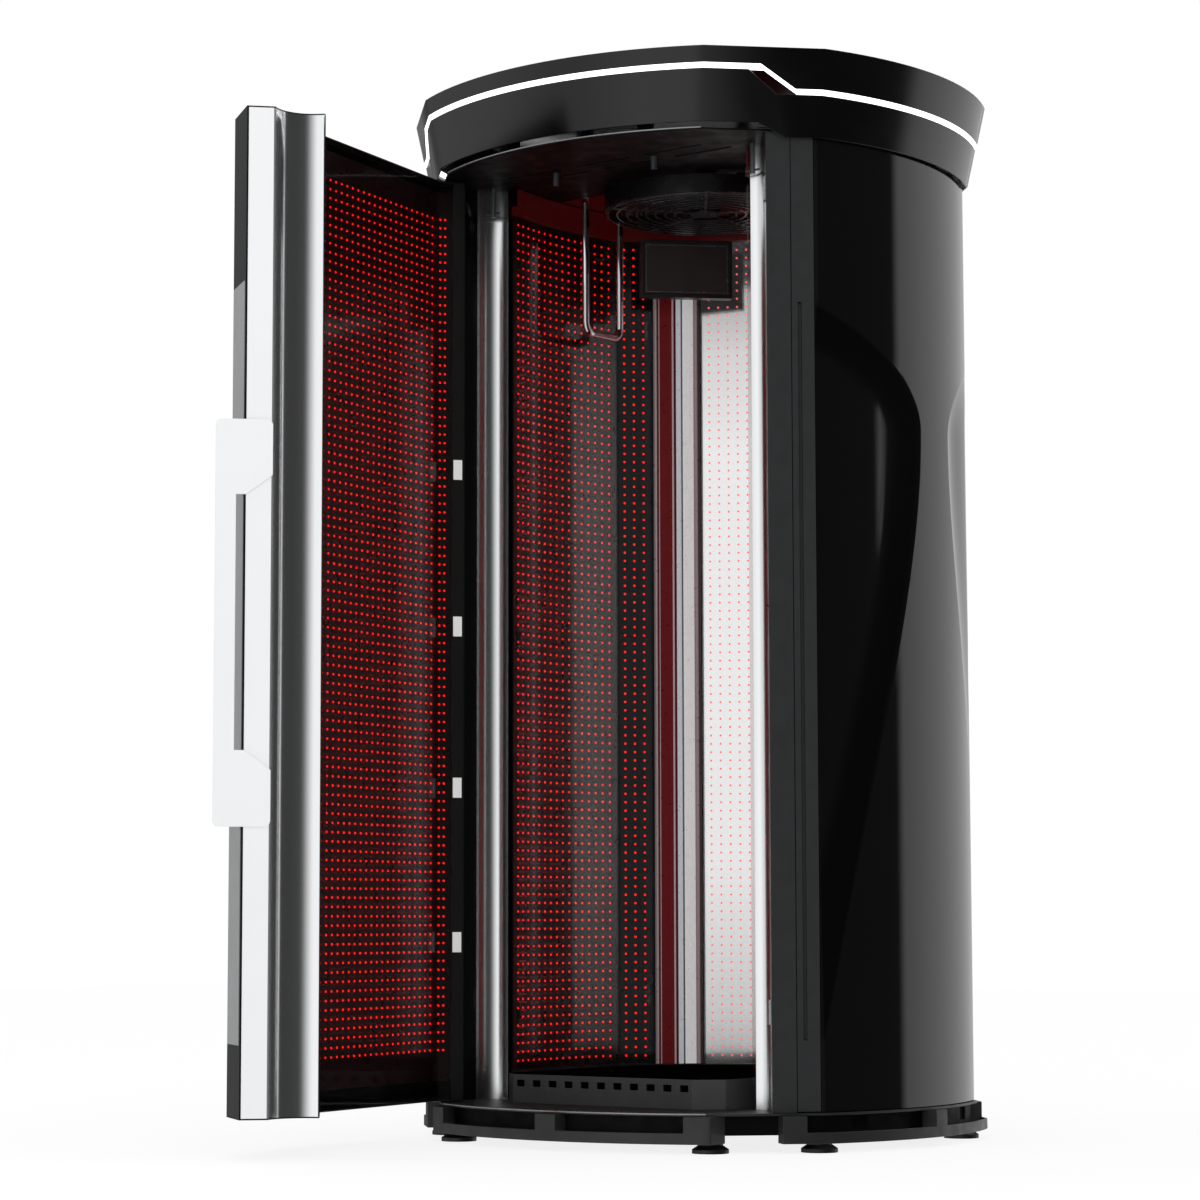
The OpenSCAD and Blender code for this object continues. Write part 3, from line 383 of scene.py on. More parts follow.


# Every finish by its name, with colours as they are seen under an even white light, except where painted
# light is noted
MATERIALS = {
    "structure": surface("structure", "030303", 0.6, grain=0.3, grain_scale=500, specular=0.12),
    "feet": surface("feet", "0b0b0c", 0.5, grain=0.35, grain_scale=700),
    "skirt": surface("skirt", "191919", 0.45, grain=0.2, grain_scale=900, edge=0.02),
    "platform": painted_faces(surface("platform", "3e3e3f", 0.7, grain=0.35, grain_scale=800, edge=0.03),
                              [(0, 0, 1)], "030303", "060505", dull=True),
    "post": painted_faces(black_gloss("post", "060607", 0.12),
                          [compass(a) for a in (45, 135, 225, 315)], "1f2021", "232526"),
    "door_skin": painted_faces(black_gloss("door_skin", "030303", 0.05),
                               [compass(a) for a in (145, 235)], "1a1b1c", "1e1f20"),
    "rail": surface("rail", "0c0c0c", 0.5, grain=0.12, grain_scale=1100),
    # rail_top: its dark red base colour and its even glow are painted red light from the wall's lamps
    "rail_top": painted_lamp_glow(surface("rail_top", "1c0809", 0.4, grain=0.12, grain_scale=1100), "ff2024", 0.02),
    "guard": surface("guard", "4c4c4e", 0.3, metallic=0.7, grain=0.05, grain_scale=600),
    "shell": gloss_shell("shell"),
    "canopy": surface("canopy", "040404", 0.17, spread=0.1, grain=0.03, grain_scale=80, mottle=3),
    "light_line": glow("light_line", "ffffff", 1.6),
    "ceiling": surface("ceiling", "030303", 0.5, grain=0.2, grain_scale=700, specular=0.15),
    # pan: its dark red base colour and its even glow are painted red light from the cabin's lamps
    "pan": painted_lamp_glow(surface("pan", "140607", 0.4, grain=0.2, grain_scale=500), "ff1a1a", 0.022),
    "studs": surface("studs", "55585c", 0.35, metallic=0.6),
    "chrome": polished_chrome("chrome", 0.16),
    "jamb": dished(polished_chrome("jamb", 0.22)),
    "rod": surface("rod", "e2e4e6", 0.06, metallic=1.0, spread=0.02),
    # led_board: a dark board whose red cast is painted red light from its lamps
    "led_board": surface("led_board", "1c0b0c", 0.3, grain=0.1, grain_scale=300),
    "rear_board": rear_board("rear_board"),
    "cover": clear_cover("cover", "f2f0f0"),
    "clear": clear_cover("clear", "fbfbfb"),
    "profile": profile_with_painted_reflections("profile"),
    "display": surface("display", "161314", 0.35, grain=0.15, grain_scale=1500),
    "screen": surface("screen", "2b2425", 0.4, spread=0.03),
    "fan": surface("fan", "101011", 0.25, grain=0.1, grain_scale=600),
    "driver": surface("driver", "a4a8ab", 0.4, metallic=0.7, grain=0.15, grain_scale=900),
    "gland": surface("gland", "141516", 0.5, grain=0.2, grain_scale=900),
    "steel": surface("steel", "b4b8bb", 0.25, metallic=1.0, grain=0.1, grain_scale=1300),
    "white": surface("white", "f1f3f4", 0.34, spread=0.008, grain=0.05, grain_scale=1500),
    "edge_plate": surface("edge_plate", "9a9b9c", 0.4, spread=0.02, grain=0.08, grain_scale=1500),
    "seal": surface("seal", "0b0b0b", 0.7, grain=0.3, grain_scale=400),
    "lamp": glow("lamp", "ff0b0d", 1.6),
    "pale_lamp": glow("pale_lamp", "ff6063", 1.0),
    "plate": surface("plate", "f8f8f8", 0.35, spread=0.01),
    "dark_screw": surface("dark_screw", "1c1d1e", 0.35, metallic=0.7),
    "trim": surface("trim", "8f9193", 0.25, metallic=0.8),
}


# What each node of the construction is finished in
FINISH = {
    "structure": ["base_frame", "canopy_frame"],
    "feet": ["levelling_feet"],
    "skirt": ["base_skirt_front", "base_skirt_rear", "base_skirt_left", "base_skirt_right", "floor_plate"],
    "platform": ["step_platform"],
    "post": ["front_post_left", "front_post_right", "rear_posts", "corner_strips"],
    "rail": ["door_caps", "door_frame", "wall_rail_bottom"],
    "rail_top": ["wall_rail_top"],
    "guard": ["fan_guard"],
    "shell": ["side_shell_left", "side_shell_right", "rear_shell"],
    "door_skin": ["door_skin"],
    "canopy": ["canopy_fascia_upper", "canopy_fascia_lower", "roof_panel"],
    "light_line": ["canopy_light_line"],
    "ceiling": ["ceiling_header"],
    "pan": ["ceiling_pan"],
    "studs": ["ceiling_studs"],
    "chrome": ["door_cove"],
    "jamb": ["jamb_reflector_left", "jamb_reflector_right"],
    "rod": ["grab_handle_left", "grab_handle_right"],
    "led_board": ["led_board_left", "led_board_right", "door_led_board"],
    "rear_board": ["led_board_rear"],
    "cover": ["wall_cover_left", "wall_cover_right", "door_cover"],
    "clear": ["wall_cover_rear"],
    "profile": ["corner_profiles"],
    "display": ["display_housing", "display_bracket"],
    "screen": ["display_screen"],
    "fan": ["fan_frame", "fan_motor", "fan_rotor"],
    "driver": ["driver_racks", "led_drivers"],
    "gland": ["cable_gland"],
    "steel": ["hinge_pins", "magnet_catches"],
    "plate": ["hinge_leaves"],
    "white": ["door_edge_profile", "door_handle"],
    "edge_plate": ["door_edge_plate"],
    "seal": ["door_seal"],
}


# Nodes whose edges are rounded, and by how much
ROUNDED = {
    0.0012: ["base_skirt_front", "base_skirt_rear", "base_skirt_left", "base_skirt_right", "step_platform",
             "canopy_fascia_upper", "canopy_fascia_lower", "display_housing", "door_handle"],
    0.0007: ["front_post_left", "front_post_right", "rear_posts", "corner_strips", "door_skin",
             "door_edge_plate", "door_edge_profile", "ceiling_header", "floor_plate",
             "corner_profiles", "hinge_leaves", "led_drivers", "door_caps"],
}


def finish_nodes():
    """Gives each node of the construction its finish."""
    for name, nodes in FINISH.items():
        for node in nodes:
            obj = frame["nodes"][node]
            obj.data.materials.clear()
            obj.data.materials.append(MATERIALS[name])


# Angle above which an edge is rounded, and how near to each other points are joined before
ROUNDED_ABOVE = math.radians(28)
WELD_DISTANCE = 0.00002


def rounded(node, width):
    """Rounds the sharp edges of a node of the construction."""
    obj = frame["nodes"][node]
    mesh = obj.data
    for name in ("custom_normal", "sharp_edge", "sharp_face"):
        if name in mesh.attributes:
            mesh.attributes.remove(mesh.attributes[name])
    weld = obj.modifiers.new("weld", "WELD")
    weld.merge_threshold = WELD_DISTANCE
    bevel = obj.modifiers.new("bevel", "BEVEL")
    bevel.width = width
    bevel.segments = 2
    bevel.limit_method = "ANGLE"
    bevel.angle_limit = ROUNDED_ABOVE
    bevel.harden_normals = True


def round_edges():
    """Rounds the edges of the nodes that show such edges."""
    for width, nodes in ROUNDED.items():
        for node in nodes:
            rounded(node, width)


# Mesh pieces

def mesh_piece(name, verts, faces, material, body, smooth=False):
    """A piece that the looks add: it rides on a body."""
    mesh = bpy.data.meshes.new(name)
    mesh.from_pydata([tuple(v) for v in verts], [], faces)
    mesh.polygons.foreach_set("use_smooth", [smooth] * len(mesh.polygons))
    mesh.materials.append(MATERIALS[material])
    mesh.update()
    obj = bpy.data.objects.new(name, mesh)
    bpy.context.scene.collection.objects.link(obj)
    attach(obj, body)
    return obj


def circle(radius, z, sides):
    """Points of a level circle."""
    turns = [2 * math.pi * i / sides for i in range(sides)]
    return [(radius * math.cos(turn), radius * math.sin(turn), z) for turn in turns]


# Where a lens bends over towards its crown, as shares of its radius and of its height
BEND_OUT, BEND_UP = 0.78, 0.62


def dome(radius, height, sides=7):
    """Points and faces of a small lens with its base at the origin and its crown along +Z."""
    verts = circle(radius, 0, sides) + circle(radius * BEND_OUT, height * BEND_UP, sides)
    verts.append((0, 0, height))
    faces = [(i, (i + 1) % sides, sides + (i + 1) % sides, sides + i) for i in range(sides)]
    faces += [(sides + i, sides + (i + 1) % sides, 2 * sides) for i in range(sides)]
    return np.array(verts), faces


def scatter(template, places, normals):
    """The template at each place, turned so that +Z follows the normal, as one set of points and faces."""
    verts, faces = template
    places = np.asarray(places, float)
    z = np.asarray(normals, float)
    z /= np.linalg.norm(z, axis=1)[:, None]
    up = np.tile([0.0, 0.0, 1.0], (len(z), 1))
    x = np.cross(up, z)
    x /= np.linalg.norm(x, axis=1)[:, None]
    y = np.cross(z, x)
    a, b, c = (verts[None, :, k, None] for k in range(3))
    points = (places[:, None] + a * x[:, None] + b * y[:, None] + c * z[:, None]).reshape(-1, 3)
    step = len(verts)
    all_faces = [tuple(i + k * step for i in f) for k in range(len(places)) for f in faces]
    return points, all_faces


def evenly(low, high, pitch):
    """Evenly spaced values at about the pitch, in the middle of low to high."""
    count = int((high - low) / pitch)
    first = (low + high) / 2 - (count - 1) * pitch / 2
    return [first + i * pitch for i in range(count)]


# Lamps

def wall_lamps(side):
    """Places and normals of the lamps on a curved side wall, side 1 for the right."""
    radius = WALL_RADIUS + BOARD_BEHIND_COVER
    low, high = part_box("led_board_right")
    centre_x = CABIN_HALF_WIDTH - WALL_RADIUS
    first = math.asin((low.y - WALL_CENTRE_Y) / radius)
    last = math.asin((high.y - WALL_CENTRE_Y) / radius)
    places, normals = [], []
    for angle in evenly(first, last, LAMP_PITCH_ACROSS / radius):
        for z in evenly(low.z, high.z, LAMP_PITCH_UP):
            places.append((side * (centre_x + radius * math.cos(angle)),
                           WALL_CENTRE_Y + radius * math.sin(angle), z))
            normals.append((-side * math.cos(angle), -math.sin(angle), 0))
    return places, normals


# The flat rear panels: the angle of each one's outward normal, in degrees round the cabin, and the
# stretch along the panel that holds lamps
CORNER_FACING, CORNER_STRETCH = 45, (-0.146, -0.06)
REAR_FACING, REAR_STRETCH = 65, (-0.052, 0.142)


def flat_lamps(side, facing, first, last):
    """Places and normals of the lamps on a flat rear panel, between two distances along it."""
    low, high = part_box("led_board_rear")
    out = Vector(compass(facing))
    along = Vector((-out.y, out.x, 0))
    distance = PANEL_DISTANCE + BOARD_BEHIND_COVER
    places, normals = [], []
    for t in evenly(first, last, LAMP_PITCH_ACROSS):
        p = out * distance + along * t
        for z in evenly(low.z, high.z, LAMP_PITCH_UP):
            places.append((side * p.x, p.y, z))
            normals.append((-side * out.x, -out.y, 0))
    return places, normals


hinge = next(j for j in frame["joints"] if j["name"] == "door_hinge")
PIVOT = Vector(hinge["pos_m"])


def turned(x, y):
    """A direction on the closed door, turned as the door is at rest."""
    c, s = math.cos(-DOOR_OPEN), math.sin(-DOOR_OPEN)
    return (c * x - s * y, s * x + c * y, 0)


def opened(x, y, z):
    """A point of the closed door, at its place with the door open as at rest."""
    dx, dy, _ = turned(x - PIVOT.x, y - PIVOT.y)
    return (PIVOT.x + dx, PIVOT.y + dy, z)


# The door's lamps: their margins below and above, the fold of the board and its free end on the closed
# door, the margin at the fold, and the places of the two columns past it, as shares of the pitch
DOOR_MARGIN_LOW, DOOR_MARGIN_HIGH = 0.05, 0.045
DOOR_FOLD_X, DOOR_FREE_X = -0.351, 0.289
FOLD_MARGIN = 0.004
PAST_FOLD = (0.4, 0.9)
DIAGONAL = math.sqrt(0.5)


def door_lamps():
    """Places and normals of the lamps on the door, with its board folded at 45 degrees on the hinge side."""
    low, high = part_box("door_led_board")
    places, normals = [], []
    y = DOOR_PANEL_Y - BOARD_BEHIND_COVER
    for z in evenly(low.z + DOOR_MARGIN_LOW, high.z - DOOR_MARGIN_HIGH, LAMP_PITCH_UP):
        for x in evenly(DOOR_FOLD_X + FOLD_MARGIN, DOOR_FREE_X, LAMP_PITCH_ACROSS):
            places.append(opened(x, y, z))
            normals.append(turned(0, 1))
        for k in PAST_FOLD:
            t = k * LAMP_PITCH_ACROSS * DIAGONAL
            places.append(opened(DOOR_FOLD_X - t, y + t, z))
            normals.append(turned(DIAGONAL, DIAGONAL))
    return places, normals


def build_lamps():
    """Every lamp of the booth, as one piece for each wall."""
    template = dome(LAMP_RADIUS, LAMP_HEIGHT)
    for side, name in ((1, "right"), (-1, "left")):
        points, faces = scatter(template, *wall_lamps(side))
        mesh_piece("lamps_" + name, points, faces, "lamp", "cabinet")
    wide = dome(LAMP_RADIUS * PALE_WIDER, LAMP_HEIGHT)
    for name, shape, finish, facing, stretch in (
            ("lamps_corners", template, "lamp", CORNER_FACING, CORNER_STRETCH),
            ("lamps_rear", wide, "pale_lamp", REAR_FACING, REAR_STRETCH)):
        places, normals = [], []
        for side in (1, -1):
            p, n = flat_lamps(side, facing, *stretch)
            places += p
            normals += n
        points, faces = scatter(shape, places, normals)
        mesh_piece(name, points, faces, finish, "cabinet")
    points, faces = scatter(template, *door_lamps())
    mesh_piece("lamps_door", points, faces, "lamp", "door")


# Side panels

# The panel's arc: its radius, how far past the cabinet's middle its centre stands, and its wall
SHELL_RADIUS = 0.714
SHELL_OFFSET = 0.131
SHELL_WALL = 0.004
# Where the arc meets the chamfers, as the sum of both distances from the cabinet's middle, where the panel
# ends, as their difference, and the angle of that end
CHAMFER_REACH = 0.8132
END_REACH = 0.215
PANEL_END = math.radians(24.87)
# Steps in which the sunk panel's own ends are found from that angle
END_STEPS = 6
# The recesses: their depth, how broad their bevel is and over what length the floor rises to the ends
RECESS_DEPTH = 0.014
RECESS_BEVEL = 0.1
RECESS_RISE = 0.2
# Where the front and the rear recess mirror each other: how far behind the side's middle, on the unrolled
# shell, and the angle of that place
MIRROR_PLACE = 0.07
MIRROR_ANGLE = math.asin(MIRROR_PLACE / SHELL_RADIUS)
# The front recess's ridge, on the unrolled shell: its heights, the places of its upper corner and its tip,
# and how far in front of the mirror's place its waist is
RIDGE_LOW, RIDGE_HIGH = 0.229, 1.76
CORNER_PLACE, TIP_PLACE = -0.308, -0.291
WAIST_REACH = 0.066
# As shares of the ridge's height: how far below its upper end the waist is, and how far above and below
# the waist the points are that keep the ridge upright there
WAIST_DOWN = 0.157
BEND_ABOVE, BEND_BELOW = 0.072, 0.193
# The point that bends the ridge towards its tip: its place, and its height as a share
TIP_BEND = (-0.15, 0.458)
# Points of the ridge above and below the waist
STEPS_ABOVE, STEPS_BELOW = 80, 240
# Over what shares of the bevel its painted shade comes in and goes out
SHADE_IN, SHADE_OUT = 0.06, 0.3
# Half the width of the sharp line on the ridge, and the least distance of the ridge from an end
RIDGE_LINE = 0.0028
RIDGE_MARGIN = math.radians(1.4)
# Rows of the panel's mesh, and columns in front of, between and behind the ridges
PANEL_ROWS = 190
FRONT_COLUMNS, MIDDLE_COLUMNS, REAR_COLUMNS = 20, 22, 14


def bezier(points, t):
    """The point at t, from 0 to 1, of the curve that the points shape."""
    points = [np.array(p) for p in points]
    while len(points) > 1:
        points = [(1 - t) * a + t * b for a, b in zip(points, points[1:])]
    return points[0]


def recess_ridge():
    """Points of the front recess's ridge, from its upper corner over the waist to its tip."""
    tall = RIDGE_HIGH - RIDGE_LOW
    waist = np.array([MIRROR_PLACE - WAIST_REACH, RIDGE_HIGH - WAIST_DOWN * tall])
    above = [(CORNER_PLACE, RIDGE_HIGH), waist + [0, BEND_ABOVE * tall], waist]
    below = [waist, waist - [0, BEND_BELOW * tall], (TIP_BEND[0], RIDGE_LOW + TIP_BEND[1] * tall),
             (TIP_PLACE, RIDGE_LOW)]
    return np.array([bezier(above, k / STEPS_ABOVE) for k in range(STEPS_ABOVE)]
                    + [bezier(below, k / STEPS_BELOW) for k in range(STEPS_BELOW + 1)])


RIDGE = recess_ridge()


def ridge_at(height):
    """How far behind the side's middle the front recess's ridge is at a height."""
    return np.interp(height, RIDGE[::-1, 1], RIDGE[::-1, 0])


def recess_depth(angle, height):
    """Depth of the front recess, from 0 to 1, and share of its bevel passed, at points of the shell."""
    across = SHELL_RADIUS * np.sin(angle)
    flat = np.stack([across.ravel(), height.ravel()], 1)
    distance = np.linalg.norm(flat[:, None] - RIDGE[None], axis=2).min(1).reshape(across.shape)
    inside = (across < ridge_at(height)) & (height > RIDGE_LOW) & (height < RIDGE_HIGH)
    share = np.clip(np.where(inside, distance, 0) / RECESS_BEVEL, 0, 1)
    return 1 - (1 - share) ** 2, share


def recesses(angle, height):
    """Depth of both recesses and how much of a bevel a point is, which weights the bevels' painted shade;
    the floors rise to the panel's ends.
    """
    front, front_passed = recess_depth(angle, height)
    rear, rear_passed = recess_depth(2 * MIRROR_ANGLE - angle, height)
    to_end = np.clip((PANEL_END - np.abs(angle)) * SHELL_RADIUS / RECESS_RISE, 0, 1)
    passed = np.where(front >= rear, front_passed, rear_passed)
    bevel = np.clip(passed / SHADE_IN, 0, 1) * np.clip((1 - passed) / SHADE_OUT, 0, 1)
    return RECESS_DEPTH * np.maximum(front, rear) * to_end, bevel


def panel_reach(angle, height):
    """Distance of the panel's outer face from the arc's centre: the sunk arc, or the chamfer beyond it."""
    chamfer = (CHAMFER_REACH + SHELL_OFFSET) / (np.cos(angle) + np.abs(np.sin(angle)))
    return np.minimum(SHELL_RADIUS - recesses(angle, height)[0], chamfer)


def panel_end(sign, heights):
    """The angles at which the panel ends, in front for sign -1 and behind for 1, found by repeated steps."""
    angle = np.full(PANEL_ROWS, PANEL_END)
    for _ in range(END_STEPS):
        reach = panel_reach(sign * angle, heights)
        angle = np.arccos((END_REACH + SHELL_OFFSET) / (math.sqrt(2) * reach)) - math.pi / 4
    return sign * angle


def panel_columns(heights):
    """Angles of the panel's mesh by rows and columns, with narrow columns along both ridges."""
    edge = np.arcsin(ridge_at(heights) / SHELL_RADIUS)
    line = RIDGE_LINE / SHELL_RADIUS
    first, last = panel_end(-1, heights), panel_end(1, heights)
    front = np.maximum(edge, first + RIDGE_MARGIN)
    rear = np.minimum(2 * MIRROR_ANGLE - edge, last - RIDGE_MARGIN)
    knots = [first, front - line, front, front + line, rear - line, rear, rear + line, last]
    counts = [FRONT_COLUMNS, 1, 1, MIDDLE_COLUMNS, 1, 1, REAR_COLUMNS]
    columns = [first]
    for a, b, count in zip(knots, knots[1:], counts):
        columns += [a + (b - a) * k / count for k in range(1, count + 1)]
    return np.stack(columns, 1)


def panel_faces(rows, wide):
    """Faces of an outer and an inner sheet, each of so many rows and columns, and of the rim round them."""
    inner = rows * wide
    faces = []
    for i in range(rows - 1):
        for j in range(wide - 1):
            a = i * wide + j
            quad = (a, a + 1, a + wide + 1, a + wide)
            faces += [quad, tuple(inner + q for q in reversed(quad))]
    rim = [(j, j + 1) for j in range(wide - 1)]
    rim += [(i * wide + wide - 1, (i + 1) * wide + wide - 1) for i in range(rows - 1)]
    rim += [((rows - 1) * wide + j + 1, (rows - 1) * wide + j) for j in range(wide - 1)]
    rim += [((i + 1) * wide, i * wide) for i in range(rows - 1)]
    return faces + [(b, a, a + inner, b + inner) for a, b in rim]


def side_panel(name, node, side):
    """The curved side with its two blade-shaped recesses, in place of the node's plainer shell."""
    low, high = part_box(node)
    heights = np.linspace(low.z, high.z, PANEL_ROWS)
    angle = panel_columns(heights)
    z = np.repeat(heights[:, None], angle.shape[1], 1)
    outer = panel_reach(angle, z)
    points = []
    for r in (outer, outer - SHELL_WALL):
        x = side * (r * np.cos(angle) - SHELL_OFFSET)
        points.append(np.stack([x, r * np.sin(angle), z], -1).reshape(-1, 3))
    faces = panel_faces(*angle.shape)
    if side < 0:
        faces = [tuple(reversed(f)) for f in faces]
    piece = mesh_piece(name, np.concatenate(points), faces, "shell", "cabinet", smooth=True)
    # The bevel attribute weights the painted shade that the shell's material lays on the recesses' bevels
    bevel = recesses(angle, z)[1].ravel()
    stored = piece.data.attributes.new("bevel", "FLOAT", "POINT")
    stored.data.foreach_set("value", np.concatenate([bevel, bevel]))
    sharp_rims(piece)
    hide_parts(node)


# Cosine of the angle above which an edge stays sharp
SHARP_ABOVE = 0.6


def sharp_rims(piece):
    """Keeps the shading of a panel's face apart from that of its narrow edges."""
    mesh = piece.data
    edges = {}
    for polygon in mesh.polygons:
        for key in polygon.edge_keys:
            edges.setdefault(key, []).append(polygon.normal)
    mesh.edges.foreach_set("use_edge_sharp", [
        len(edges[e.key]) == 2 and edges[e.key][0].dot(edges[e.key][1]) < SHARP_ABOVE for e in mesh.edges])


# Small fittings

# Distance of the front arcs' centre behind the middle of the cabinet
FRONT_CENTRE = 0.178
# A bead's section, as distances outwards and up
BEAD_SECTION = [(-0.001, -0.0018), (0.0012, -0.0012), (0.0012, 0.0012), (-0.001, 0.0018)]
BEAD_STEPS = 30


def carried(profile, path):
    """A profile of points (outwards, up) carried along a path of (place, outwards) pairs."""
    verts = [place + out * p + Vector((0, 0, q)) for place, out in path for p, q in profile]
    n, m = len(path), len(profile)
    faces = [(i * m + k, i * m + (k + 1) % m, (i + 1) * m + (k + 1) % m, (i + 1) * m + k)
             for i in range(n - 1) for k in range(m)]
    faces += [tuple(range(m)), tuple(reversed(range((n - 1) * m, n * m)))]
    return verts, faces


def front_bead(name, node, radius, half_width, lift):
    """A thin bright bead along the front edge of a plate."""
    low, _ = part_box(node)
    path = []
    for k in range(2 * BEAD_STEPS + 1):
        x = half_width * (k / BEAD_STEPS - 1)
        out = Vector((x / radius, -math.sqrt(1 - (x / radius) ** 2), 0))
        path.append((Vector((0, FRONT_CENTRE, low.z + lift)) + out * radius, out))
    verts, faces = carried(BEAD_SECTION, path)
    mesh_piece(name, verts, faces, "trim", "cabinet")


# The strip behind the rear boards' seam: how far behind the boards' faces, half its width and its wall
SEAM_BEHIND, SEAM_HALF, SEAM_WALL = 0.0045, 0.012, 0.0015


def rear_seam():
    """A folded strip behind the boards that closes the seam where the two rear panels meet."""
    low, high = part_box("led_board_rear")
    back = PANEL_DISTANCE + BOARD_BEHIND_COVER + SEAM_BEHIND
    out = Vector(compass(REAR_FACING))
    verts = []
    for z in (low.z, high.z):
        for away in (back, back + SEAM_WALL):
            for x in (-SEAM_HALF, 0, SEAM_HALF):
                verts.append((x, (away - abs(x) * out.x) / out.y, z))
    outline = [0, 1, 2, 5, 4, 3]
    faces = [(a, b, b + 6, a + 6) for a, b in zip(outline, outline[1:] + outline[:1])]
    faces += [(0, 3, 4, 1), (1, 4, 5, 2), (6, 7, 10, 9), (7, 8, 11, 10)]
    mesh_piece("rear_seam", verts, faces, "rail", "cabinet")


# The clips at the left cover's front edge
CLIP_X, CLIP_Y = -0.3138, -0.258
CLIP_HEIGHTS = (1.9488, 1.1071, 0.2682)
CLIP_HALF = (0.003, 0.0045, 0.011)
CLIP_EDGE = 0.0012


def wall_clips():
    """Dark spring clips that hold the left cover at its front edge."""
    half_x, half_y, half_z = CLIP_HALF
    corners = ((-1, -1), (1, -1), (1, 1), (-1, 1))
    verts, faces = [], []
    for z in CLIP_HEIGHTS:
        start = len(verts)
        for lift in (-1, 1):
            for inset in (0, CLIP_EDGE):
                k = lift * (half_z - CLIP_EDGE + inset)
                verts += [(CLIP_X + dx * (half_x - inset), CLIP_Y + dy * (half_y - inset), z + k)
                          for dx, dy in corners]
        rings = [start + 4, start, start + 8, start + 12]
        for a, b in zip(rings, rings[1:]):
            faces += [(a + i, a + (i + 1) % 4, b + (i + 1) % 4, b + i) for i in range(4)]
        faces += [tuple(start + 7 - i for i in range(4)), tuple(start + 12 + i for i in range(4))]
    mesh_piece("wall_clips", verts, faces, "dark_screw", "cabinet")


# A pan head's section from its rim to its driver recess, as shares of its radius and of its height, then
# its height and the recess's floor, as shares of its radius
SCREW_SECTION = [(1.0, 0.0), (0.92, 0.55), (0.7, 0.95), (0.42, 1.0), (0.36, 0.45)]
SCREW_HEIGHT = 0.5
RECESS_FLOOR = 0.2
SCREW_SIDES = 12


def screws(name, places, normal, radius, body):
    """Pan heads with a driver recess, set on a face."""
    sides = SCREW_SIDES
    verts, faces = [], []
    for k, h in SCREW_SECTION:
        verts += circle(radius * k, radius * SCREW_HEIGHT * h, sides)
    last = (len(SCREW_SECTION) - 1) * sides
    for r in range(0, last, sides):
        faces += [(r + i, r + (i + 1) % sides, r + sides + (i + 1) % sides, r + sides + i)
                  for i in range(sides)]
    verts.append((0, 0, radius * RECESS_FLOOR))
    faces += [(last + i, last + (i + 1) % sides, len(verts) - 1) for i in range(sides)]
    points, all_faces = scatter((np.array(verts), faces), places, [normal] * len(places))
    mesh_piece(name, points, all_faces, "dark_screw", body)


# The line round the touch screen: its insets at the sides and above and below, its width, and how far it
# is sunk into the screen and stands proud of it
BEZEL_SIDE, BEZEL_END, BEZEL_WIDTH = 0.0035, 0.003, 0.0011
BEZEL_SUNK, BEZEL_PROUD = 0.0002, 0.0005


def display_bezel():
    """The fine bright line round the touch screen, which faces forwards and to the right."""
    low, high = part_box("display_screen")
    middle = (low + high) / 2
    across = Vector(compass(45))
    front = Vector(compass(-45))
    half = (high.x - low.x) / (2 * across.x) - BEZEL_SIDE
    face = max(Vector(c.co).dot(front) for c in frame["nodes"]["display_screen"].data.vertices)
    flat = middle + front * (face - middle.dot(front))
    verts, faces = [], []
    for inset in (0.0, BEZEL_WIDTH):
        bottom, top = low.z + BEZEL_END + inset, high.z - BEZEL_END - inset
        for a, z in ((-1, bottom), (1, bottom), (1, top), (-1, top)):
            for lift in (-BEZEL_SUNK, BEZEL_PROUD):
                p = flat + across * (a * (half - inset)) + front * lift
                verts.append((p.x, p.y, z))
    for k in range(4):
        n = (k + 1) % 4
        a, b, c, d = 2 * k, 2 * n, 8 + 2 * n, 8 + 2 * k
        faces += [(a + 1, b + 1, c + 1, d + 1), (b, a, d, c), (a, b, b + 1, a + 1), (c, d, d + 1, c + 1)]
    mesh_piece("display_bezel", verts, faces, "trim", "cabinet")


# Screws on the jambs and on the door's edge plate, the latter with the door at rest
JAMB_SCREW_X, JAMB_SCREW_Y = 0.416, -0.337
JAMB_SCREW_HEIGHTS = (1.9834, 1.1253, 0.2663)
PLATE_SCREW_X, PLATE_SCREW_Y = -0.2893, -1.185
PLATE_SCREW_HEIGHTS = (1.6551, 0.3373)
PLATE_NORMAL = (-0.574, -0.819, 0)


def build_fittings():
    """The thin trim and the small fasteners."""
    front_bead("header_bead", "ceiling_header", radius=0.733, half_width=0.345, lift=0.0045)
    front_bead("floor_bead", "floor_plate", radius=0.738, half_width=0.348, lift=0.004)
    wall_clips()
    rear_seam()
    display_bezel()
    jambs = [(side * JAMB_SCREW_X, JAMB_SCREW_Y, z) for side in (1, -1) for z in JAMB_SCREW_HEIGHTS]
    screws("jamb_screws", jambs, (0, -1, 0), radius=0.0028, body="cabinet")
    plate = [(PLATE_SCREW_X, PLATE_SCREW_Y, z) for z in PLATE_SCREW_HEIGHTS]
    screws("edge_plate_screws", plate, PLATE_NORMAL, radius=0.0032, body="door")


# Surroundings

# Brightness of the studio's walls round the booth, by the angle from the front to the right, in degrees
STUDIO = [
    (-180, 0.92), (-150, 0.9), (-128, 0.25), (-112, 0.12), (-95, 0.35), (-75, 0.6), (-55, 0.85),
    (-20, 0.7), (0, 1.0), (24, 0.92), (34, 0.66), (44, 0.36), (53, 0.12), (62, 0.04), (90, 0.03),
    (130, 0.04), (132.5, 0.05), (136, 0.9), (150, 0.98), (180, 0.92),
]
# How much light the studio gives to all that doesn't mirror it
EVEN_LIGHT = 0.75


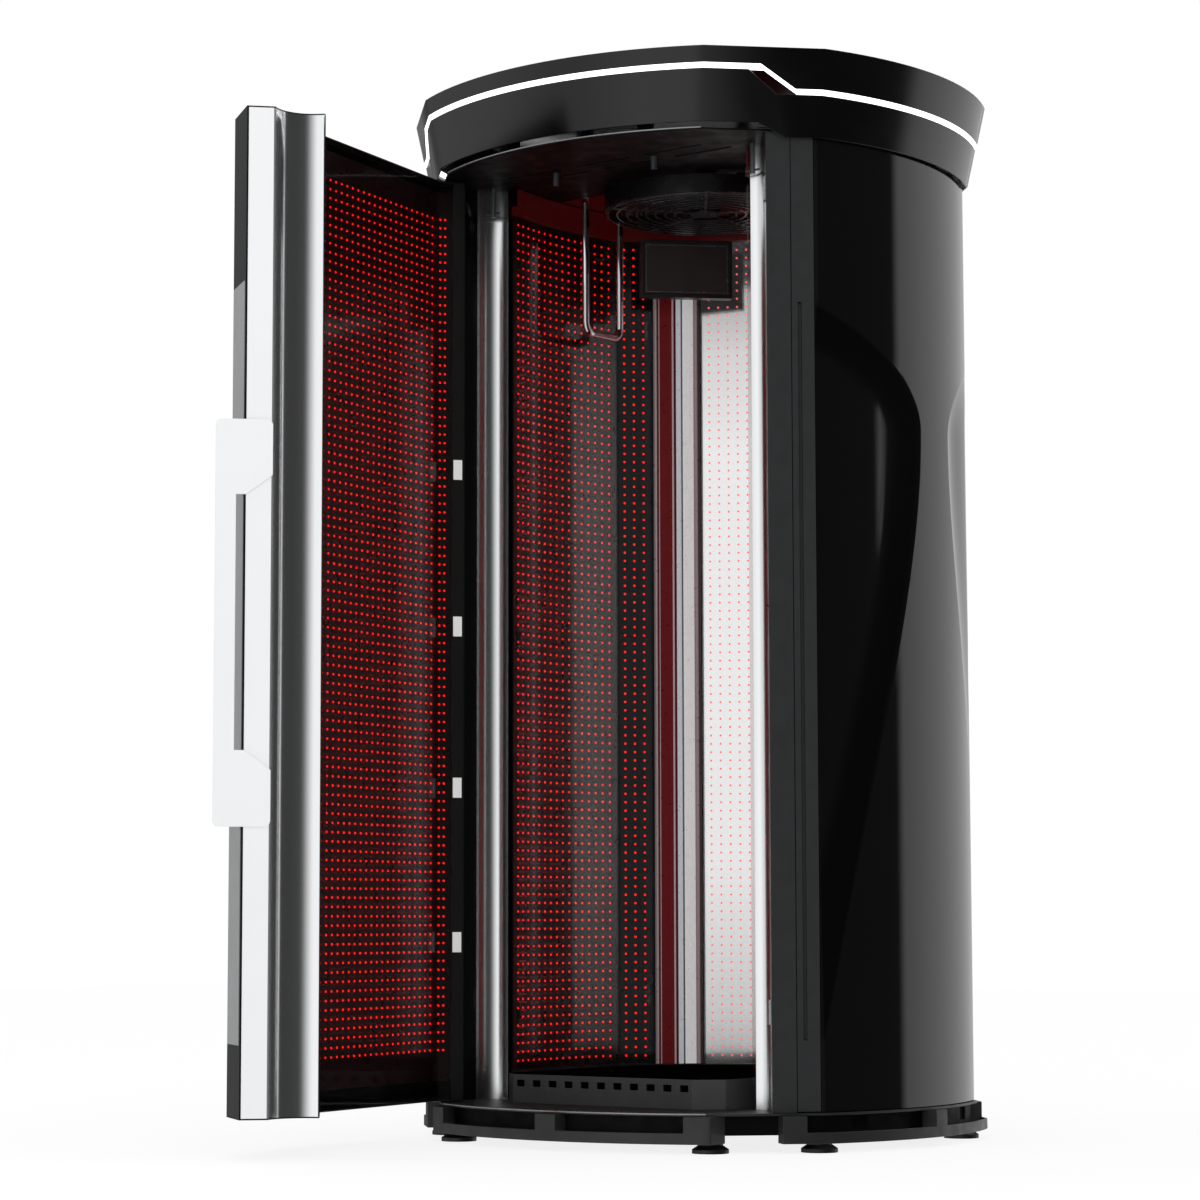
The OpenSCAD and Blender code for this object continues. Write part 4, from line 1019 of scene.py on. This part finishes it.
def make_world():
    """A studio that is white to the eye, even to matt surfaces, and walls with lights to mirrors."""
    world = bpy.data.worlds.new("studio")
    bpy.context.scene.world = world
    world.use_nodes = True
    t = Tree(world.node_tree)
    way = t.node("SeparateXYZ", {0: t.node("TexCoord").outputs["Generated"]})
    front = t.math("MULTIPLY", way.outputs["Y"], -1.0)
    angle = t.math("ARCTAN2", way.outputs["X"], front)
    share = t.math("ADD", t.math("DIVIDE", angle, 2 * math.pi), 0.5)
    mirrored = t.ramp(share, [((a + 180) / 360, v) for a, v in STUDIO])
    path = t.node("LightPath").outputs
    even = t.node("Background", {"Color": grey(EVEN_LIGHT), "Strength": 1.0}).outputs[0]
    walls = t.node("Background", {"Color": mirrored, "Strength": 1.0}).outputs[0]
    white = t.node("Background", {"Color": grey(1.0), "Strength": 1.0}).outputs[0]
    around = t.node("MixShader", {0: path["Is Glossy Ray"], 1: even, 2: walls}).outputs[0]
    seen = t.node("MixShader", {0: path["Is Camera Ray"], 1: around, 2: white}).outputs[0]
    t.node("OutputWorld", {"Surface": seen})


# Half the floor's width, how much light it scatters and how much it gives by itself
FLOOR_HALF = 14.0
FLOOR_SHADED, FLOOR_GLOW = 0.2, 0.84


def make_floor():
    """A pale floor that keeps a soft shadow and that mirrors see through, to the studio beyond it."""
    mesh = bpy.data.meshes.new("floor")
    corners = [(x * FLOOR_HALF, y * FLOOR_HALF, 0) for x, y in ((-1, -1), (1, -1), (1, 1), (-1, 1))]
    mesh.from_pydata(corners, [], [(0, 1, 2, 3)])
    material, t = new_material("floor")
    shaded = t.node("BsdfDiffuse", {"Color": grey(FLOOR_SHADED)}).outputs[0]
    bright = t.node("Emission", {"Color": grey(FLOOR_GLOW), "Strength": 1.0}).outputs[0]
    floor = t.node("AddShader", {0: shaded, 1: bright}).outputs[0]
    through = t.node("BsdfTransparent").outputs[0]
    path = t.node("LightPath").outputs
    seen = t.node("MixShader", {0: path["Is Glossy Ray"], 1: floor, 2: through}).outputs[0]
    t.node("OutputMaterial", {"Surface": seen})
    mesh.materials.append(material)
    obj = bpy.data.objects.new("floor", mesh)
    bpy.context.scene.collection.objects.link(obj)


# What the soft lamps are turned to, about the middle of the booth
LAMPS_AIM = Vector((0, 0, 1.1))


def soft_lamp(name, place, size, power):
    """A large lamp that mirrors don't show."""
    data = bpy.data.lights.new(name, "AREA")
    data.size = size
    data.energy = power
    obj = bpy.data.objects.new(name, data)
    bpy.context.scene.collection.objects.link(obj)
    obj.location = place
    obj.rotation_mode = "QUATERNION"
    obj.rotation_quaternion = (LAMPS_AIM - Vector(place)).to_track_quat("-Z", "Y")
    obj.visible_glossy = False


make_camera()
make_world()
make_floor()
soft_lamp("key", place=(3.5, -4.5, 4.0), size=3.0, power=60)
soft_lamp("fill", place=(-4.5, -3.5, 3.0), size=3.0, power=30)
finish_nodes()
round_edges()
side_panel("side_panel_right", "side_shell_right", 1)
side_panel("side_panel_left", "side_shell_left", -1)
build_lamps()
build_fittings()
